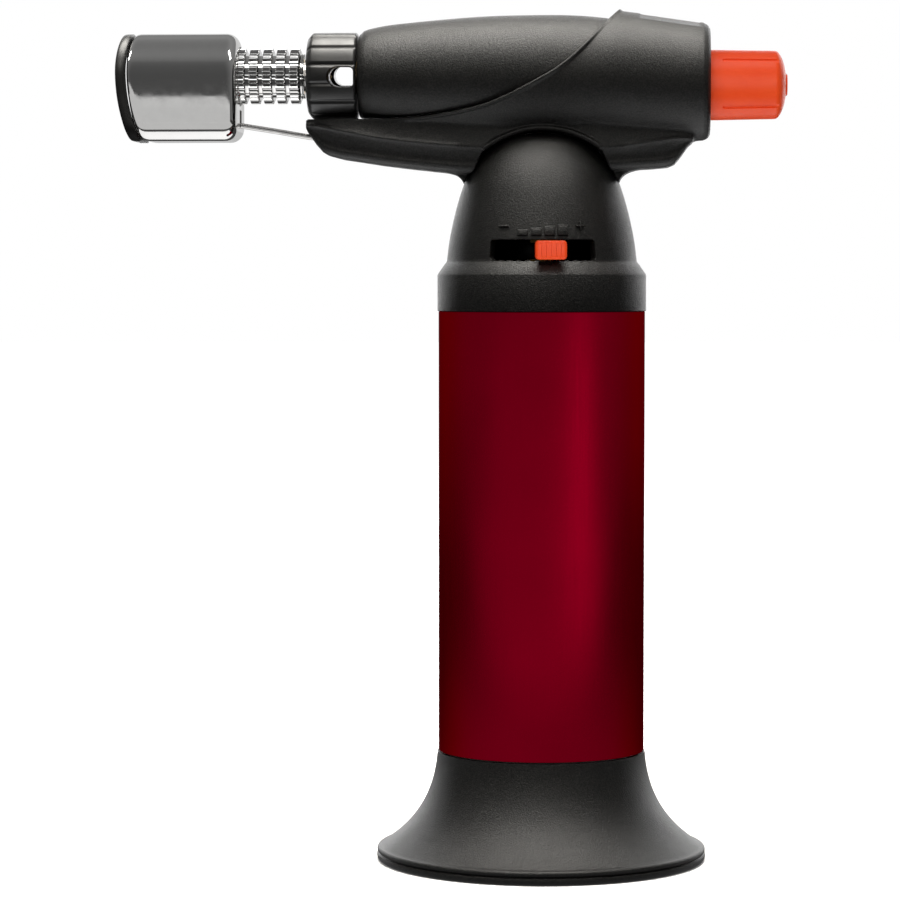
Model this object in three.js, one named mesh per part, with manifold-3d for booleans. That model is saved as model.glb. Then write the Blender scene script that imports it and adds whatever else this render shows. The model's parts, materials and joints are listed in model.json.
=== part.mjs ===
// Butane torch: a refillable hand torch with a piezo igniter. Millimetres, +Z up.
// It stands on a flared base. The burner points along -X and the push button along +X.
// The origin is on the standing surface, in the middle of the torch's length.
import * as THREE from "three";
import { mergeVertices } from "three/addons/utils/BufferGeometryUtils.js";
import Module from "manifold-3d";

const wasm = await Module();
wasm.setup();

// ---------------------------------------------------------------- driving dimensions
const GAP = 0.3; // clearance between pieces that touch

// Upright stack, radii about the tank axis and heights above the standing surface
const BASE_RADIUS = 36.3;
const FOOT_RADIUS = 35.0;
const FOOT_INNER_RADIUS = 33.2;
const SKIRT_TOP_Z = 24.0;
const SLEEVE_RADIUS = 22.65;
const SLEEVE_WALL = 0.9;
const SLEEVE_TOP_Z = 121.0;
const TANK_RADIUS = 21.4;
const TANK_WALL = 1.8;
const TANK_BOTTOM_Z = SKIRT_TOP_Z - 1.5;
const TANK_TOP_Z = 118.5;
const COLLAR_RADIUS = 22.9;
const COLLAR_TOP_Z = 129.0;
const DOME_RADIUS = 20.85;
const DOME_BOTTOM_Z = 131.9;
const DOME_TOP_Z = 160.2;
const NECK_WALL = 1.8;
const SLOT_BOTTOM_Z = 131.9;
const SLOT_TOP_Z = 136.4;
const SLOT_HALF_ANGLE = 33.4; // degrees either side of the front
const TAB_ANGLE = 4.4; // degrees from the slot's middle at rest
const TAB_INNER_RADIUS = 21.3;

// Head
const BURNER_Z = 172.5;
const BUTTON_Z = 170.3;
const BARREL_FRONT_X = -40.0;
const HEAD_REAR_X = 36.8;
const BARREL_WALL = 1.8;
const SHELL_STEP = 0.8; // how far the housing stands proud of the nose barrel
const KEEL_HALF_WEB = 5.0;

// Burner
const SHIELD_HALF_WIDTH = 9.4;
const SHIELD_BOTTOM = -14.3; // below the burner axis
const SHIELD_CORNER = 3.5;
const SHIELD_WALL = 0.8;
const SHIELD_REAR_X = -66.4;
const MOUTH_CENTRE_X = -52.9; // the shield's mouth is trimmed by a cylinder about Y
const MOUTH_CENTRE_RISE = 0.8; // above the burner axis
const MOUTH_RADIUS = 40.0;
const RIM_DEPTH = 2.2;
const SHIELD_FRONT_X = MOUTH_CENTRE_X - MOUTH_RADIUS;
const FIN_COUNT = 5;
const FIN_PITCH = 2.97;
const FIN_WIDTH = 2.2;
const FIN_RADIUS = 6.1;
const FIN_START_X = -67.0;
const CORE_RADIUS = 4.6;
const TUBE_RADIUS = 3.2;
const AIR_RING_RADIUS = 9.5;
const AIR_RING_FRONT_X = -51.9;
const AIR_RING_REAR_X = -40.35;
const MIXER_RADIUS = 4.1;
const AIR_HOLE_X = -43.5;
const AIR_HOLE_LENGTH = 5.4;
const AIR_HOLE_HEIGHT = 4.7;

// Igniter and release
const BUTTON_RADIUS = 7.7;
const BUTTON_END_X = 53.5;
const BUTTON_TRAVEL = 7.0;
const FLANGE_RADIUS = 8.8;
const FLANGE_X = 33.2;
const PIEZO_SIDE = 8.4;
const PIEZO_FRONT_X = 7.0;
const PIEZO_REAR_X = 27.0;
const PLUNGER_SIDE = 5.8;
const PIVOT_X = -10.0;
const PIVOT_Z = 161.4;
const LEVER_HALF_WIDTH = 3.0;
const STEM_RADIUS = 1.3;

// The tank axis lies ahead of the middle of the torch's length.
const TANK_AXIS_X = -(SHIELD_FRONT_X + BUTTON_END_X) / 2;

const ROUND = 24; // sides of a large turned piece
const SMALL_ROUND = 16; // sides of a small one
const TINY_ROUND = 10;

// ---------------------------------------------------------------- materials
const finish = (color, roughness, metalness) =>
  new THREE.MeshStandardMaterial({ color, roughness, metalness });

const BLACK_PLASTIC = finish(0x2a2a28, 0.6, 0);
const BLACK_SATIN = finish(0x1f1f1e, 0.45, 0);
const ORANGE_PLASTIC = finish(0xf04a1c, 0.4, 0);
const RED_ANODISED = finish(0x7a0014, 0.35, 0.8);
const CHROME = finish(0xc9c9c9, 0.08, 1);
const STEEL = finish(0xa8a8a6, 0.3, 1);
const BRASS = finish(0xb5913f, 0.3, 1);
const CERAMIC = finish(0xe9e4d8, 0.5, 0);
const RUBBER = finish(0x151515, 0.8, 0);
const TANK_PLASTIC = finish(0xd9d9d2, 0.4, 0);
const IVORY_PLASTIC = finish(0xe6e2d2, 0.45, 0);

// ---------------------------------------------------------------- solids
// A closed geometry as a solid, its faces turned outwards.
function solid(geometry) {
  const bare = geometry.index ? geometry.toNonIndexed() : geometry.clone();
  bare.deleteAttribute("normal");
  bare.deleteAttribute("uv");
  const merged = mergeVertices(bare, 1e-4);
  const corners = merged.index.array;
  const faces = [];
  for (let i = 0; i < corners.length; i += 3) {
    const [a, b, c] = [corners[i], corners[i + 1], corners[i + 2]];
    if (a !== b && b !== c && c !== a) faces.push([a, b, c]);
  }
  const make = (list) =>
    new wasm.Manifold(
      new wasm.Mesh({
        numProp: 3,
        vertProperties: merged.attributes.position.array,
        triVerts: new Uint32Array(list.flat()),
      }),
    );
  const made = make(faces);
  return made.volume() > 0 ? made : make(faces.map(([a, b, c]) => [a, c, b]));
}

const join = (first, ...others) => others.reduce((whole, other) => whole.add(other), first);
const cut = (first, ...others) => others.reduce((whole, other) => whole.subtract(other), first);

// A closed profile as lathe points: it ends on the axis or returns to its start.
function lathePoints(pairs) {
  const points = pairs.map(([radius, height]) => new THREE.Vector2(radius, height));
  const onAxis = points[0].x === 0 && points[points.length - 1].x === 0;
  return onAxis ? points : [...points, points[0]];
}

// Turned about Z, from [radius, z] pairs.
function turnedZ(pairs, sides = ROUND) {
  return solid(new THREE.LatheGeometry(lathePoints(pairs), sides).rotateX(Math.PI / 2));
}

// Turned about an axis along X at a height, from [x, radius] pairs.
function turnedX(pairs, sides = SMALL_ROUND, centreZ = 0) {
  const swapped = pairs.map(([x, radius]) => [radius, x]);
  const turned = new THREE.LatheGeometry(lathePoints(swapped), sides).rotateZ(-Math.PI / 2);
  return solid(turned.translate(0, 0, centreZ));
}

// Turned about an axis along Y through x, z, from [y, radius] pairs.
function turnedY(pairs, x, z, sides = TINY_ROUND) {
  const swapped = pairs.map(([y, radius]) => [radius, y]);
  return solid(new THREE.LatheGeometry(lathePoints(swapped), sides).translate(x, 0, z));
}

const shapeOf = (pairs) => new THREE.Shape(pairs.map(([a, b]) => new THREE.Vector2(a, b)));

function extruded(shape, depth, curveSegments = 6) {
  return new THREE.ExtrudeGeometry(shape, { depth, bevelEnabled: false, steps: 1, curveSegments });
}

// A shape in X and Z, extruded from y0 to y1.
const alongY = (shape, y0, y1, curveSegments) =>
  solid(extruded(shape, y1 - y0, curveSegments).rotateX(Math.PI / 2).translate(0, y1, 0));

// A shape in X and Y, extruded from z0 to z1.
const alongZ = (shape, z0, z1, curveSegments) =>
  solid(extruded(shape, z1 - z0, curveSegments).translate(0, 0, z0));

// A box between two corners.
function block([x0, y0, z0], [x1, y1, z1]) {
  const box = new THREE.BoxGeometry(x1 - x0, y1 - y0, z1 - z0);
  return solid(box.translate((x0 + x1) / 2, (y0 + y1) / 2, (z0 + z1) / 2));
}

// A skin over rings of [x, y, z] points, closed by a fan at each end.
function loft(rings) {
  const count = rings[0].length;
  const points = rings.flat(2);
  const faces = [];
  for (let r = 0; r + 1 < rings.length; r += 1) {
    for (let i = 0; i < count; i += 1) {
      const a = r * count + i;
      const b = r * count + ((i + 1) % count);
      faces.push(a, b, b + count, a, b + count, a + count);
    }
  }
  const last = (rings.length - 1) * count;
  for (let i = 1; i + 1 < count; i += 1) {
    faces.push(0, i + 1, i, last, last + i, last + i + 1);
  }
  const geometry = new THREE.BufferGeometry();
  geometry.setAttribute("position", new THREE.Float32BufferAttribute(points, 3));
  geometry.setIndex(faces);
  return solid(geometry);
}

// A round ring of points at x, about a centre height.
function roundRing(x, centreZ, radius, sides = ROUND) {
  return Array.from({ length: sides }, (_, i) => {
    const angle = (2 * Math.PI * i) / sides;
    return [x, radius * Math.cos(angle), centreZ + radius * Math.sin(angle)];
  });
}

// A round rod or hollow tube along a curve.
function tubeAlong(path, radius, steps, bore = 0, halfSides = 4) {
  const section = new THREE.Shape().absarc(0, 0, radius, 0, 2 * Math.PI);
  if (bore > 0) section.holes.push(new THREE.Path().absarc(0, 0, bore, 0, 2 * Math.PI));
  const options = { steps, extrudePath: path, curveSegments: halfSides, bevelEnabled: false };
  return solid(new THREE.ExtrudeGeometry(section, options));
}

const curveThrough = (points) =>
  new THREE.CatmullRomCurve3(points.map(([x, y, z]) => new THREE.Vector3(x, y, z)));

// A coil about Z that starts at z = 0.
class Coil extends THREE.Curve {
  constructor(radius, height, turns) {
    super();
    this.radius = radius;
    this.height = height;
    this.turns = turns;
  }
  getPoint(t) {
    const angle = 2 * Math.PI * this.turns * t;
    const x = this.radius * Math.cos(angle);
    const y = this.radius * Math.sin(angle);
    return new THREE.Vector3(x, y, this.height * t);
  }
}

function coilSpring(radius, wire, length, turns, stepsPerTurn = 8) {
  const section = new THREE.Shape().absarc(0, 0, wire / 2, 0, 2 * Math.PI);
  const path = new Coil(radius, length - wire, turns);
  const steps = turns * stepsPerTurn;
  const options = { steps, extrudePath: path, curveSegments: 3, bevelEnabled: false };
  return new THREE.ExtrudeGeometry(section, options).translate(0, 0, wire / 2);
}

// A named mesh in a group.
function add(group, name, made, material) {
  const { vertProperties, triVerts } = made.getMesh();
  const geometry = new THREE.BufferGeometry();
  geometry.setAttribute("position", new THREE.BufferAttribute(vertProperties, 3));
  geometry.setIndex(new THREE.BufferAttribute(triVerts, 1));
  geometry.computeVertexNormals();
  const mesh = new THREE.Mesh(geometry, material);
  mesh.name = name;
  group.add(mesh);
}

// ---------------------------------------------------------------- groups
const torch = new THREE.Group();
const upright = new THREE.Group(); // pieces about the tank axis
upright.position.x = TANK_AXIS_X;
torch.add(upright);
const head = new THREE.Group();
upright.add(head);
const burner = new THREE.Group(); // pieces about the burner axis
burner.position.z = BURNER_Z;
head.add(burner);
const igniter = new THREE.Group(); // pieces about the button axis
igniter.position.z = BUTTON_Z;
head.add(igniter);

// ---------------------------------------------------------------- base, sleeve and tank
function baseSkirt() {
  const flare = new THREE.CubicBezierCurve(
    new THREE.Vector2(COLLAR_RADIUS, SKIRT_TOP_Z),
    new THREE.Vector2(23.6, 14.5),
    new THREE.Vector2(27.6, 8.2),
    new THREE.Vector2(35.4, 3.4),
  );
  const wall = 2.0;
  const outside = flare.getPoints(7).map((p) => [p.x, p.y]);
  const inside = flare.getPoints(6).slice(2).reverse().map((p) => [p.x - wall, p.y]);
  const webBottomZ = 19.4;
  const webTopZ = TANK_BOTTOM_Z - GAP;
  const webHole = 7.5;
  return turnedZ([
    ...outside,
    [BASE_RADIUS, 1.9],
    [BASE_RADIUS, 0.9],
    [FOOT_RADIUS, 0],
    [FOOT_INNER_RADIUS, 0],
    ...inside,
    [TANK_RADIUS, webBottomZ],
    [webHole, webBottomZ],
    [webHole, webTopZ],
    [TANK_RADIUS + GAP, webTopZ],
    [TANK_RADIUS + GAP, SKIRT_TOP_Z],
  ]);
}

const tankSleeve = () =>
  turnedZ([
    [SLEEVE_RADIUS - SLEEVE_WALL, SKIRT_TOP_Z + GAP],
    [SLEEVE_RADIUS, SKIRT_TOP_Z + GAP],
    [SLEEVE_RADIUS, SLEEVE_TOP_Z],
    [SLEEVE_RADIUS - SLEEVE_WALL, SLEEVE_TOP_Z],
  ]);

const FILL_HOLE = 4.2;
const VALVE_HOLE = 5.2;

function fuelTank() {
  const floorZ = TANK_BOTTOM_Z + 3;
  const roofZ = TANK_TOP_Z - 3;
  const inner = TANK_RADIUS - TANK_WALL;
  const corner = 1.5;
  return turnedZ([
    [FILL_HOLE, TANK_BOTTOM_Z],
    [TANK_RADIUS, TANK_BOTTOM_Z],
    [TANK_RADIUS, TANK_TOP_Z - corner],
    [TANK_RADIUS - corner, TANK_TOP_Z],
    [VALVE_HOLE, TANK_TOP_Z],
    [VALVE_HOLE, roofZ],
    [inner - corner, roofZ],
    [inner, roofZ - corner],
    [inner, floorZ + corner],
    [inner - corner, floorZ],
    [FILL_HOLE, floorZ],
  ]);
}

add(upright, "base_skirt", baseSkirt(), BLACK_PLASTIC);
add(upright, "tank_sleeve", tankSleeve(), RED_ANODISED);
add(upright, "fuel_tank", fuelTank(), TANK_PLASTIC);

// ---------------------------------------------------------------- fill valve in the tank's floor
const FILL_TIP_Z = 16.0;

const fillValveBody = () =>
  turnedZ(
    [
      [1.7, FILL_TIP_Z],
      [3.0, FILL_TIP_Z],
      [3.0, 20.0],
      [6.8, 20.0],
      [6.8, TANK_BOTTOM_Z - GAP],
      [FILL_HOLE - GAP, TANK_BOTTOM_Z - GAP],
      [FILL_HOLE - GAP, 30.0],
      [1.2, 30.0],
      [1.2, 28.6],
      [2.9, 28.6],
      [2.9, 22.0],
      [1.7, 22.0],
    ],
    SMALL_ROUND,
  );

const fillValveStem = () =>
  turnedZ(
    [
      [0, 14.6],
      [1.3, 14.6],
      [1.3, 23.2],
      [2.5, 23.2],
      [2.5, 24.2],
      [0.8, 24.2],
      [0.8, 28.0],
      [0, 28.0],
    ],
    TINY_ROUND,
  );

const fillValveSeal = () =>
  turnedZ([[1.65, 22.3], [2.6, 22.3], [2.6, 22.9], [1.65, 22.9]], TINY_ROUND);

const fillValveSpring = () => solid(coilSpring(1.7, 0.5, 3.8, 3).translate(0, 0, 24.5));

add(upright, "fill_valve_body", fillValveBody(), BRASS);
add(upright, "fill_valve_stem", fillValveStem(), BRASS);
add(upright, "fill_valve_seal", fillValveSeal(), RUBBER);
add(upright, "fill_valve_spring", fillValveSpring(), STEEL);

// ---------------------------------------------------------------- main valve in the tank's roof
const VALVE_BOTTOM_Z = 108.0;
const VALVE_FLANGE_Z = 120.3;
const VALVE_TOP_Z = 137.0;
const CHAMBER_RADIUS = 3.4;
const CHAMBER_BOTTOM_Z = 110.0;
const CHAMBER_TOP_Z = 131.0;
const VALVE_NECK_RADIUS = 6.0;

const valveBody = () =>
  turnedZ(
    [
      [1.7, VALVE_BOTTOM_Z],
      [4.8, VALVE_BOTTOM_Z],
      [4.8, VALVE_FLANGE_Z],
      [9.5, VALVE_FLANGE_Z],
      [9.5, 123.0],
      [VALVE_NECK_RADIUS, 123.0],
      [VALVE_NECK_RADIUS, VALVE_TOP_Z],
      [1.7, VALVE_TOP_Z],
      [1.7, CHAMBER_TOP_Z],
      [CHAMBER_RADIUS, CHAMBER_TOP_Z],
      [CHAMBER_RADIUS, CHAMBER_BOTTOM_Z],
      [1.7, CHAMBER_BOTTOM_Z],
    ],
    SMALL_ROUND,
  );

// The stem's collar sits just above the release lever; a thin nipple above it enters the hose.
const COLLAR_Z = 162.5;
const NIPPLE_Z = 163.5;

const valveStem = () =>
  turnedZ(
    [
      [0, 113.0],
      [3.0, 113.0],
      [3.0, 114.6],
      [STEM_RADIUS, 114.6],
      [STEM_RADIUS, COLLAR_Z],
      [2.6, COLLAR_Z],
      [2.6, NIPPLE_Z],
      [0.6, NIPPLE_Z],
      [0.6, 167.6],
      [0, 167.6],
    ],
    TINY_ROUND,
  );

const valveSeal = () =>
  turnedZ([[1.7, 110.3], [3.05, 110.3], [3.05, 112.6], [1.7, 112.6]], TINY_ROUND);

const valveSpring = () => solid(coilSpring(2.35, 0.7, 15.4, 5).translate(0, 0, 115.2));

const tankSeal = () =>
  turnedZ([[5.3, 118.8], [8.0, 118.8], [8.0, 120.0], [5.3, 120.0]], SMALL_ROUND);

const pickupTube = () =>
  turnedZ([[0.8, 31.0], [1.4, 31.0], [1.4, 109.4], [0.8, 109.4]], TINY_ROUND);

function valveLockNut() {
  const hexRadius = 9.8;
  const hexagon = Array.from({ length: 6 }, (_, i) => {
    const angle = (Math.PI * i) / 3;
    return [hexRadius * Math.cos(angle), hexRadius * Math.sin(angle)];
  });
  const shape = shapeOf(hexagon);
  shape.holes.push(new THREE.Path().absarc(0, 0, VALVE_NECK_RADIUS + GAP, 0, 2 * Math.PI));
  return alongZ(shape, 123.3, 126.0, 8);
}

add(upright, "valve_body", valveBody(), BRASS);
add(upright, "valve_stem", valveStem(), BRASS);
add(upright, "valve_seal", valveSeal(), RUBBER);
add(upright, "valve_spring", valveSpring(), STEEL);
add(upright, "tank_seal", tankSeal(), RUBBER);
add(upright, "pickup_tube", pickupTube(), IVORY_PLASTIC);
add(upright, "valve_lock_nut", valveLockNut(), BRASS);

// ---------------------------------------------------------------- neck cover and flame lever
const STEM_HOLE = 2.2;

// Radius and height along the dome, grown by an allowance.
function domeProfile(grow = 0) {
  const curve = new THREE.SplineCurve(
    [
      [DOME_RADIUS, DOME_BOTTOM_Z],
      [20.2, 136.8],
      [18.9, 142.8],
      [17.2, 148.4],
      [15.2, 152.6],
      [12.6, 156.2],
      [9.4, 158.7],
      [STEM_HOLE, DOME_TOP_Z],
    ].map(([radius, z]) => new THREE.Vector2(radius, z)),
  );
  return curve.getPoints(10).map((p) => [p.x + grow, p.y + grow]);
}

// Points at an angle from the front, at a distance from the tank axis, in X and Y.
const polar = (radius, degrees) => {
  const angle = THREE.MathUtils.degToRad(degrees - 90);
  return [radius * Math.cos(angle), radius * Math.sin(angle)];
};

function sector(innerRadius, outerRadius, fromDegrees, toDegrees, steps) {
  const angles = Array.from({ length: steps + 1 }, (_, i) =>
    THREE.MathUtils.lerp(fromDegrees, toDegrees, i / steps),
  );
  const outer = angles.map((angle) => polar(outerRadius, angle));
  const inner = angles.map((angle) => polar(innerRadius, angle)).reverse();
  return shapeOf([...outer, ...inner]);
}

function neckCover() {
  const outside = domeProfile();
  const inside = domeProfile(-NECK_WALL)
    .filter(([radius]) => radius > STEM_HOLE)
    .reverse();
  const shell = turnedZ([
    [COLLAR_RADIUS - NECK_WALL, SLEEVE_TOP_Z + GAP],
    [COLLAR_RADIUS, SLEEVE_TOP_Z + GAP],
    [COLLAR_RADIUS, COLLAR_TOP_Z],
    ...outside,
    [STEM_HOLE, DOME_TOP_Z - NECK_WALL],
    ...inside,
    [COLLAR_RADIUS - NECK_WALL, COLLAR_TOP_Z - 1],
  ]);
  const opening = sector(15, 26, -SLOT_HALF_ANGLE, SLOT_HALF_ANGLE, 8);
  const channelHalf = LEVER_HALF_WIDTH + 2 * GAP; // room for the release lever and the button's finger
  const channel = block([-14, -channelHalf, 156.2], [24, channelHalf, 165]);
  return cut(shell, alongZ(opening, SLOT_BOTTOM_Z, SLOT_TOP_Z), channel);
}

function flameLever() {
  const hubRadius = 9.0;
  const hub = turnedZ(
    [
      [VALVE_NECK_RADIUS + GAP, 132.4],
      [hubRadius, 132.4],
      [hubRadius, 135.9],
      [VALVE_NECK_RADIUS + GAP, 135.9],
    ],
    SMALL_ROUND,
  );
  const armHalf = 2.4;
  const arm = shapeOf([
    [-armHalf, -TAB_INNER_RADIUS],
    [armHalf, -TAB_INNER_RADIUS],
    [armHalf, -hubRadius + 1],
    [-armHalf, -hubRadius + 1],
  ]);
  return join(hub, alongZ(arm, 132.6, 135.7));
}

// The finger tab on the end of the lever's arm.
function leverTab() {
  const half = 3.3;
  const outer = 23.6;
  const corner = 0.6;
  const outline = shapeOf([
    [-half, -outer + corner],
    [-half + corner, -outer],
    [half - corner, -outer],
    [half, -outer + corner],
    [half, -TAB_INNER_RADIUS],
    [-half, -TAB_INNER_RADIUS],
  ]);
  return alongZ(outline, 132.2, 136.1);
}

add(upright, "neck_cover", neckCover(), BLACK_PLASTIC);
const leverTurn = new THREE.Group();
leverTurn.rotation.z = THREE.MathUtils.degToRad(TAB_ANGLE);
upright.add(leverTurn);
add(leverTurn, "flame_lever", flameLever(), BLACK_SATIN);
add(leverTurn, "lever_tab", leverTab(), ORANGE_PLASTIC);

// ---------------------------------------------------------------- head shells
// The barrel's radius about the burner axis, from its front to under the housing.
const barrelCurve = new THREE.SplineCurve(
  [
    [BARREL_FRONT_X, 9.4],
    [-37.5, 10.35],
    [-31, 11.4],
    [-14, 12.85],
    [0, 13.2],
    [9, 12.95],
    [18, 12.0],
  ].map(([x, radius]) => new THREE.Vector2(x, radius)),
);
const barrelOutline = (grow) => barrelCurve.getPoints(11).map((p) => [p.x, p.y + grow]);

// The edge where the housing meets the nose barrel, seen from the side.
const seamCurve = new THREE.SplineCurve(
  [
    [-42, 162.9],
    [-33, 162.4],
    [-22.6, 163.6],
    [-11.4, 166.2],
    [-0.3, 171.3],
    [7.2, 176.4],
    [17.2, 187.0],
  ].map(([x, z]) => new THREE.Vector2(x, z)),
);
const seam = (rise) => seamCurve.getPoints(14).map((p) => [p.x, p.y + rise]);

function aboveSeam() {
  const outline = shapeOf([...seam(GAP / 2 + 0.1), [17.2, 200], [-42, 200]]);
  return alongY(outline, -20, 20);
}

function belowSeam() {
  const outline = shapeOf([...seam(-GAP / 2 - 0.1), [60, 187], [60, 140], [-60, 140], [-60, 162.9]]);
  return alongY(outline, -20, 20);
}

// The space inside the head: round under the barrel, then under the housing.
function headCavity() {
  const rings = barrelOutline(-BARREL_WALL)
    .filter(([x]) => x < 14)
    .map(([x, radius]) => [x, BURNER_Z, radius]);
  rings[0][0] = BARREL_FRONT_X + 2.2;
  rings.push([18, 172.5, 11.9], [26, 172.1, 11.6], [HEAD_REAR_X - BARREL_WALL, 171.3, 10.8]);
  return loft(rings.map(([x, centreZ, radius]) => roundRing(x, centreZ, radius, 24)));
}

function noseBarrel() {
  const outside = barrelOutline(0);
  const shell = turnedX([[BARREL_FRONT_X, 0], ...outside, [18, 0]], ROUND, BURNER_Z);
  const bore = turnedX([[-45, 0], [-45, 4.5], [0, 4.5], [0, 0]], SMALL_ROUND, BURNER_Z);
  return cut(shell.intersect(aboveSeam()), headCavity(), bore);
}

// One section of the keel: [x, bottomZ, bottomHalf, ridgeZ, ridgeHalf, topZ, topHalf].
const keelSection = ([x, bottomZ, bottomHalf, ridgeZ, ridgeHalf, topZ, topHalf]) => [
  [x, -bottomHalf, bottomZ],
  [x, bottomHalf, bottomZ],
  [x, ridgeHalf, ridgeZ],
  [x, topHalf, topZ],
  [x, -topHalf, topZ],
  [x, -ridgeHalf, ridgeZ],
];

// The housing's outside: a round body that swells under the barrel, and a keel below it.
function housingOutside() {
  const rings = barrelOutline(SHELL_STEP)
    .filter(([x]) => x > -39 && x < 12)
    .map(([x, radius]) => [x, BURNER_Z, radius]);
  rings.push([17, 172.7, 13.95], [26, 172.2, 13.4], [34.5, 171.5, 12.8]);
  rings.push([HEAD_REAR_X - 0.4, 171.3, 12.3], [HEAD_REAR_X, 171.2, 11.2]);
  const body = loft(rings.map(([x, centreZ, radius]) => roundRing(x, centreZ, radius)));
  const keel = loft(
    [
      [-51.5, 161.0, 2.2, 161.5, 3.4, 162.4, 3.2],
      [-49.4, 157.5, 2.8, 161.4, 4.8, 163.2, 4.4],
      [-46.8, 155.1, 3.2, 161.0, 6.0, 163.4, 5.4],
      [-40.0, 153.7, 3.6, 159.7, 8.2, 163.6, 6.6],
      [-30.0, 152.3, 4.0, 158.1, 10.0, 164.6, 9.2],
      [-18.0, 150.9, 4.5, 157.0, 11.0, 166.5, 10.8],
      [-8.0, 150.0, 4.5, 156.5, 11.4, 168.0, 12.0],
      [8.0, 150.4, 4.5, 156.3, 11.4, 168.0, 12.6],
      [18.0, 151.8, 4.5, 156.9, 11.0, 168.0, 12.6],
      [27.0, 152.4, 4.2, 158.2, 10.6, 166.0, 11.6],
      [29.2, 153.2, 4.2, 158.5, 10.4, 166.0, 11.4],
      [33.0, 158.2, 4.2, 158.9, 9.6, 166.0, 11.2],
    ].map(keelSection),
  );
  return join(body, keel);
}

// The arch over the dome, cut on both sides and leaving a web between.
function archCuts() {
  const outline = new THREE.Shape();
  outline.moveTo(-19, 140);
  outline.lineTo(-15.6, 149.0);
  outline.lineTo(-12.6, 155.7);
  outline.quadraticCurveTo(-6.4, 160.2, 0.4, 160.2);
  outline.quadraticCurveTo(6.9, 160.2, 13.2, 155.9);
  outline.lineTo(16.4, 149.0);
  outline.lineTo(19, 140);
  const side = (y0, y1) => alongY(outline, y0, y1, 5);
  return join(side(-20, -KEEL_HALF_WEB), side(KEEL_HALF_WEB, 20));
}

// Room for the lever, the button's finger, the cable and the electrode.
function keelChannels() {
  const leverRoom = block([-14, -3.4, 160.0], [19, 3.4, 168]);
  const pivotRoom = block([-14, -3.4, 158.8], [-6, 3.4, 168]);
  const fingerOutline = shapeOf([
    [7.8, 156.6],
    [30.2, 156.6],
    [33.4, 160.0],
    [HEAD_REAR_X - BARREL_WALL, 160.0],
    [HEAD_REAR_X - BARREL_WALL, 168],
    [7.8, 168],
  ]);
  const fingerRoom = alongY(fingerOutline, -2.3, 2.3);
  const cableRoom = block([-38.2, -1.5, 157.2], [-17, 1.5, 165]);
  const insulatorRoom = block([-48.2, -2.2, 156.5], [-38.0, 2.2, 160.9]);
  const rodRoom = block([-54, -0.95, 157.9], [-48.0, 0.95, 160.7]);
  const stemRoom = turnedZ([[0, 150], [2.2, 150], [2.2, 165], [0, 165]], TINY_ROUND);
  return join(leverRoom, pivotRoom, stemRoom, fingerRoom, cableRoom, insulatorRoom, rodRoom);
}

const SCREWS = [
  { name: "housing_screw_1", x: -33.0, z: 155.2, headY: 4.2 },
  { name: "housing_screw_2", x: -19.8, z: 154.0, headY: 4.8 },
  { name: "housing_screw_3", x: 16.5, z: 180.6, headY: 5.5 },
  { name: "housing_screw_4", x: 22.5, z: 154.5, headY: 4.6 },
];
const SCREW_REACH = 3.2; // how far a shank reaches into the far half
const SCREW_HEAD_HEIGHT = 1.4;
const SCREW_HEAD_RADIUS = 1.7;
const SCREW_SHANK_RADIUS = 0.9;

function screwHole({ x, z, headY }) {
  const shank = SCREW_SHANK_RADIUS + GAP;
  const well = SCREW_HEAD_RADIUS + GAP;
  const end = -SCREW_REACH - GAP;
  const seat = headY - GAP;
  return turnedY([[end, 0], [end, shank], [seat, shank], [seat, well], [16, well], [16, 0]], x, z);
}

const housingScrew = ({ x, z, headY }) =>
  turnedY(
    [
      [-SCREW_REACH, 0],
      [-SCREW_REACH, SCREW_SHANK_RADIUS],
      [headY, SCREW_SHANK_RADIUS],
      [headY, SCREW_HEAD_RADIUS],
      [headY + SCREW_HEAD_HEIGHT, SCREW_HEAD_RADIUS],
      [headY + SCREW_HEAD_HEIGHT, 0],
    ],
    x,
    z,
    8,
  );

function housingHalves() {
  const outside = housingOutside();
  const hollow = cut(outside.intersect(belowSeam()), headCavity());
  const boss = turnedY([[-12, 0], [-12, 2.8], [12, 2.8], [12, 0]], SCREWS[2].x, SCREWS[2].z, 12);
  const whole = join(hollow, boss.intersect(outside).intersect(belowSeam()));
  const dome = turnedZ([[0, 120], [DOME_RADIUS + GAP, 120], ...domeProfile(GAP), [0, DOME_TOP_Z + GAP]]);
  const ringReach = AIR_RING_RADIUS + 0.4;
  const ringRoom = turnedX([[-60, 0], [-60, ringReach], [-39.9, ringReach], [-39.9, 0]], ROUND, BURNER_Z);
  const capReach = BUTTON_RADIUS + GAP;
  const buttonHole = turnedX([[30, 0], [30, capReach], [40, capReach], [40, 0]], ROUND, BUTTON_Z);
  const pinHole = turnedY([[-4.9, 0], [-4.9, 1.2], [4.9, 1.2], [4.9, 0]], PIVOT_X, PIVOT_Z);
  const shell = cut(
    whole,
    dome,
    archCuts(),
    keelChannels(),
    ringRoom,
    buttonHole,
    pinHole,
    ...SCREWS.map(screwHole),
  );
  const half = (y0, y1) => shell.intersect(block([-70, y0, 130], [70, y1, 200]));
  return [half(-20, -GAP / 2), half(GAP / 2, 20)];
}

const [leftHalf, rightHalf] = housingHalves();
add(head, "nose_barrel", noseBarrel(), BLACK_PLASTIC);
add(head, "housing_left", leftHalf, BLACK_PLASTIC);
add(head, "housing_right", rightHalf, BLACK_PLASTIC);
for (const screw of SCREWS) add(head, screw.name, housingScrew(screw), STEEL);

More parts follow.
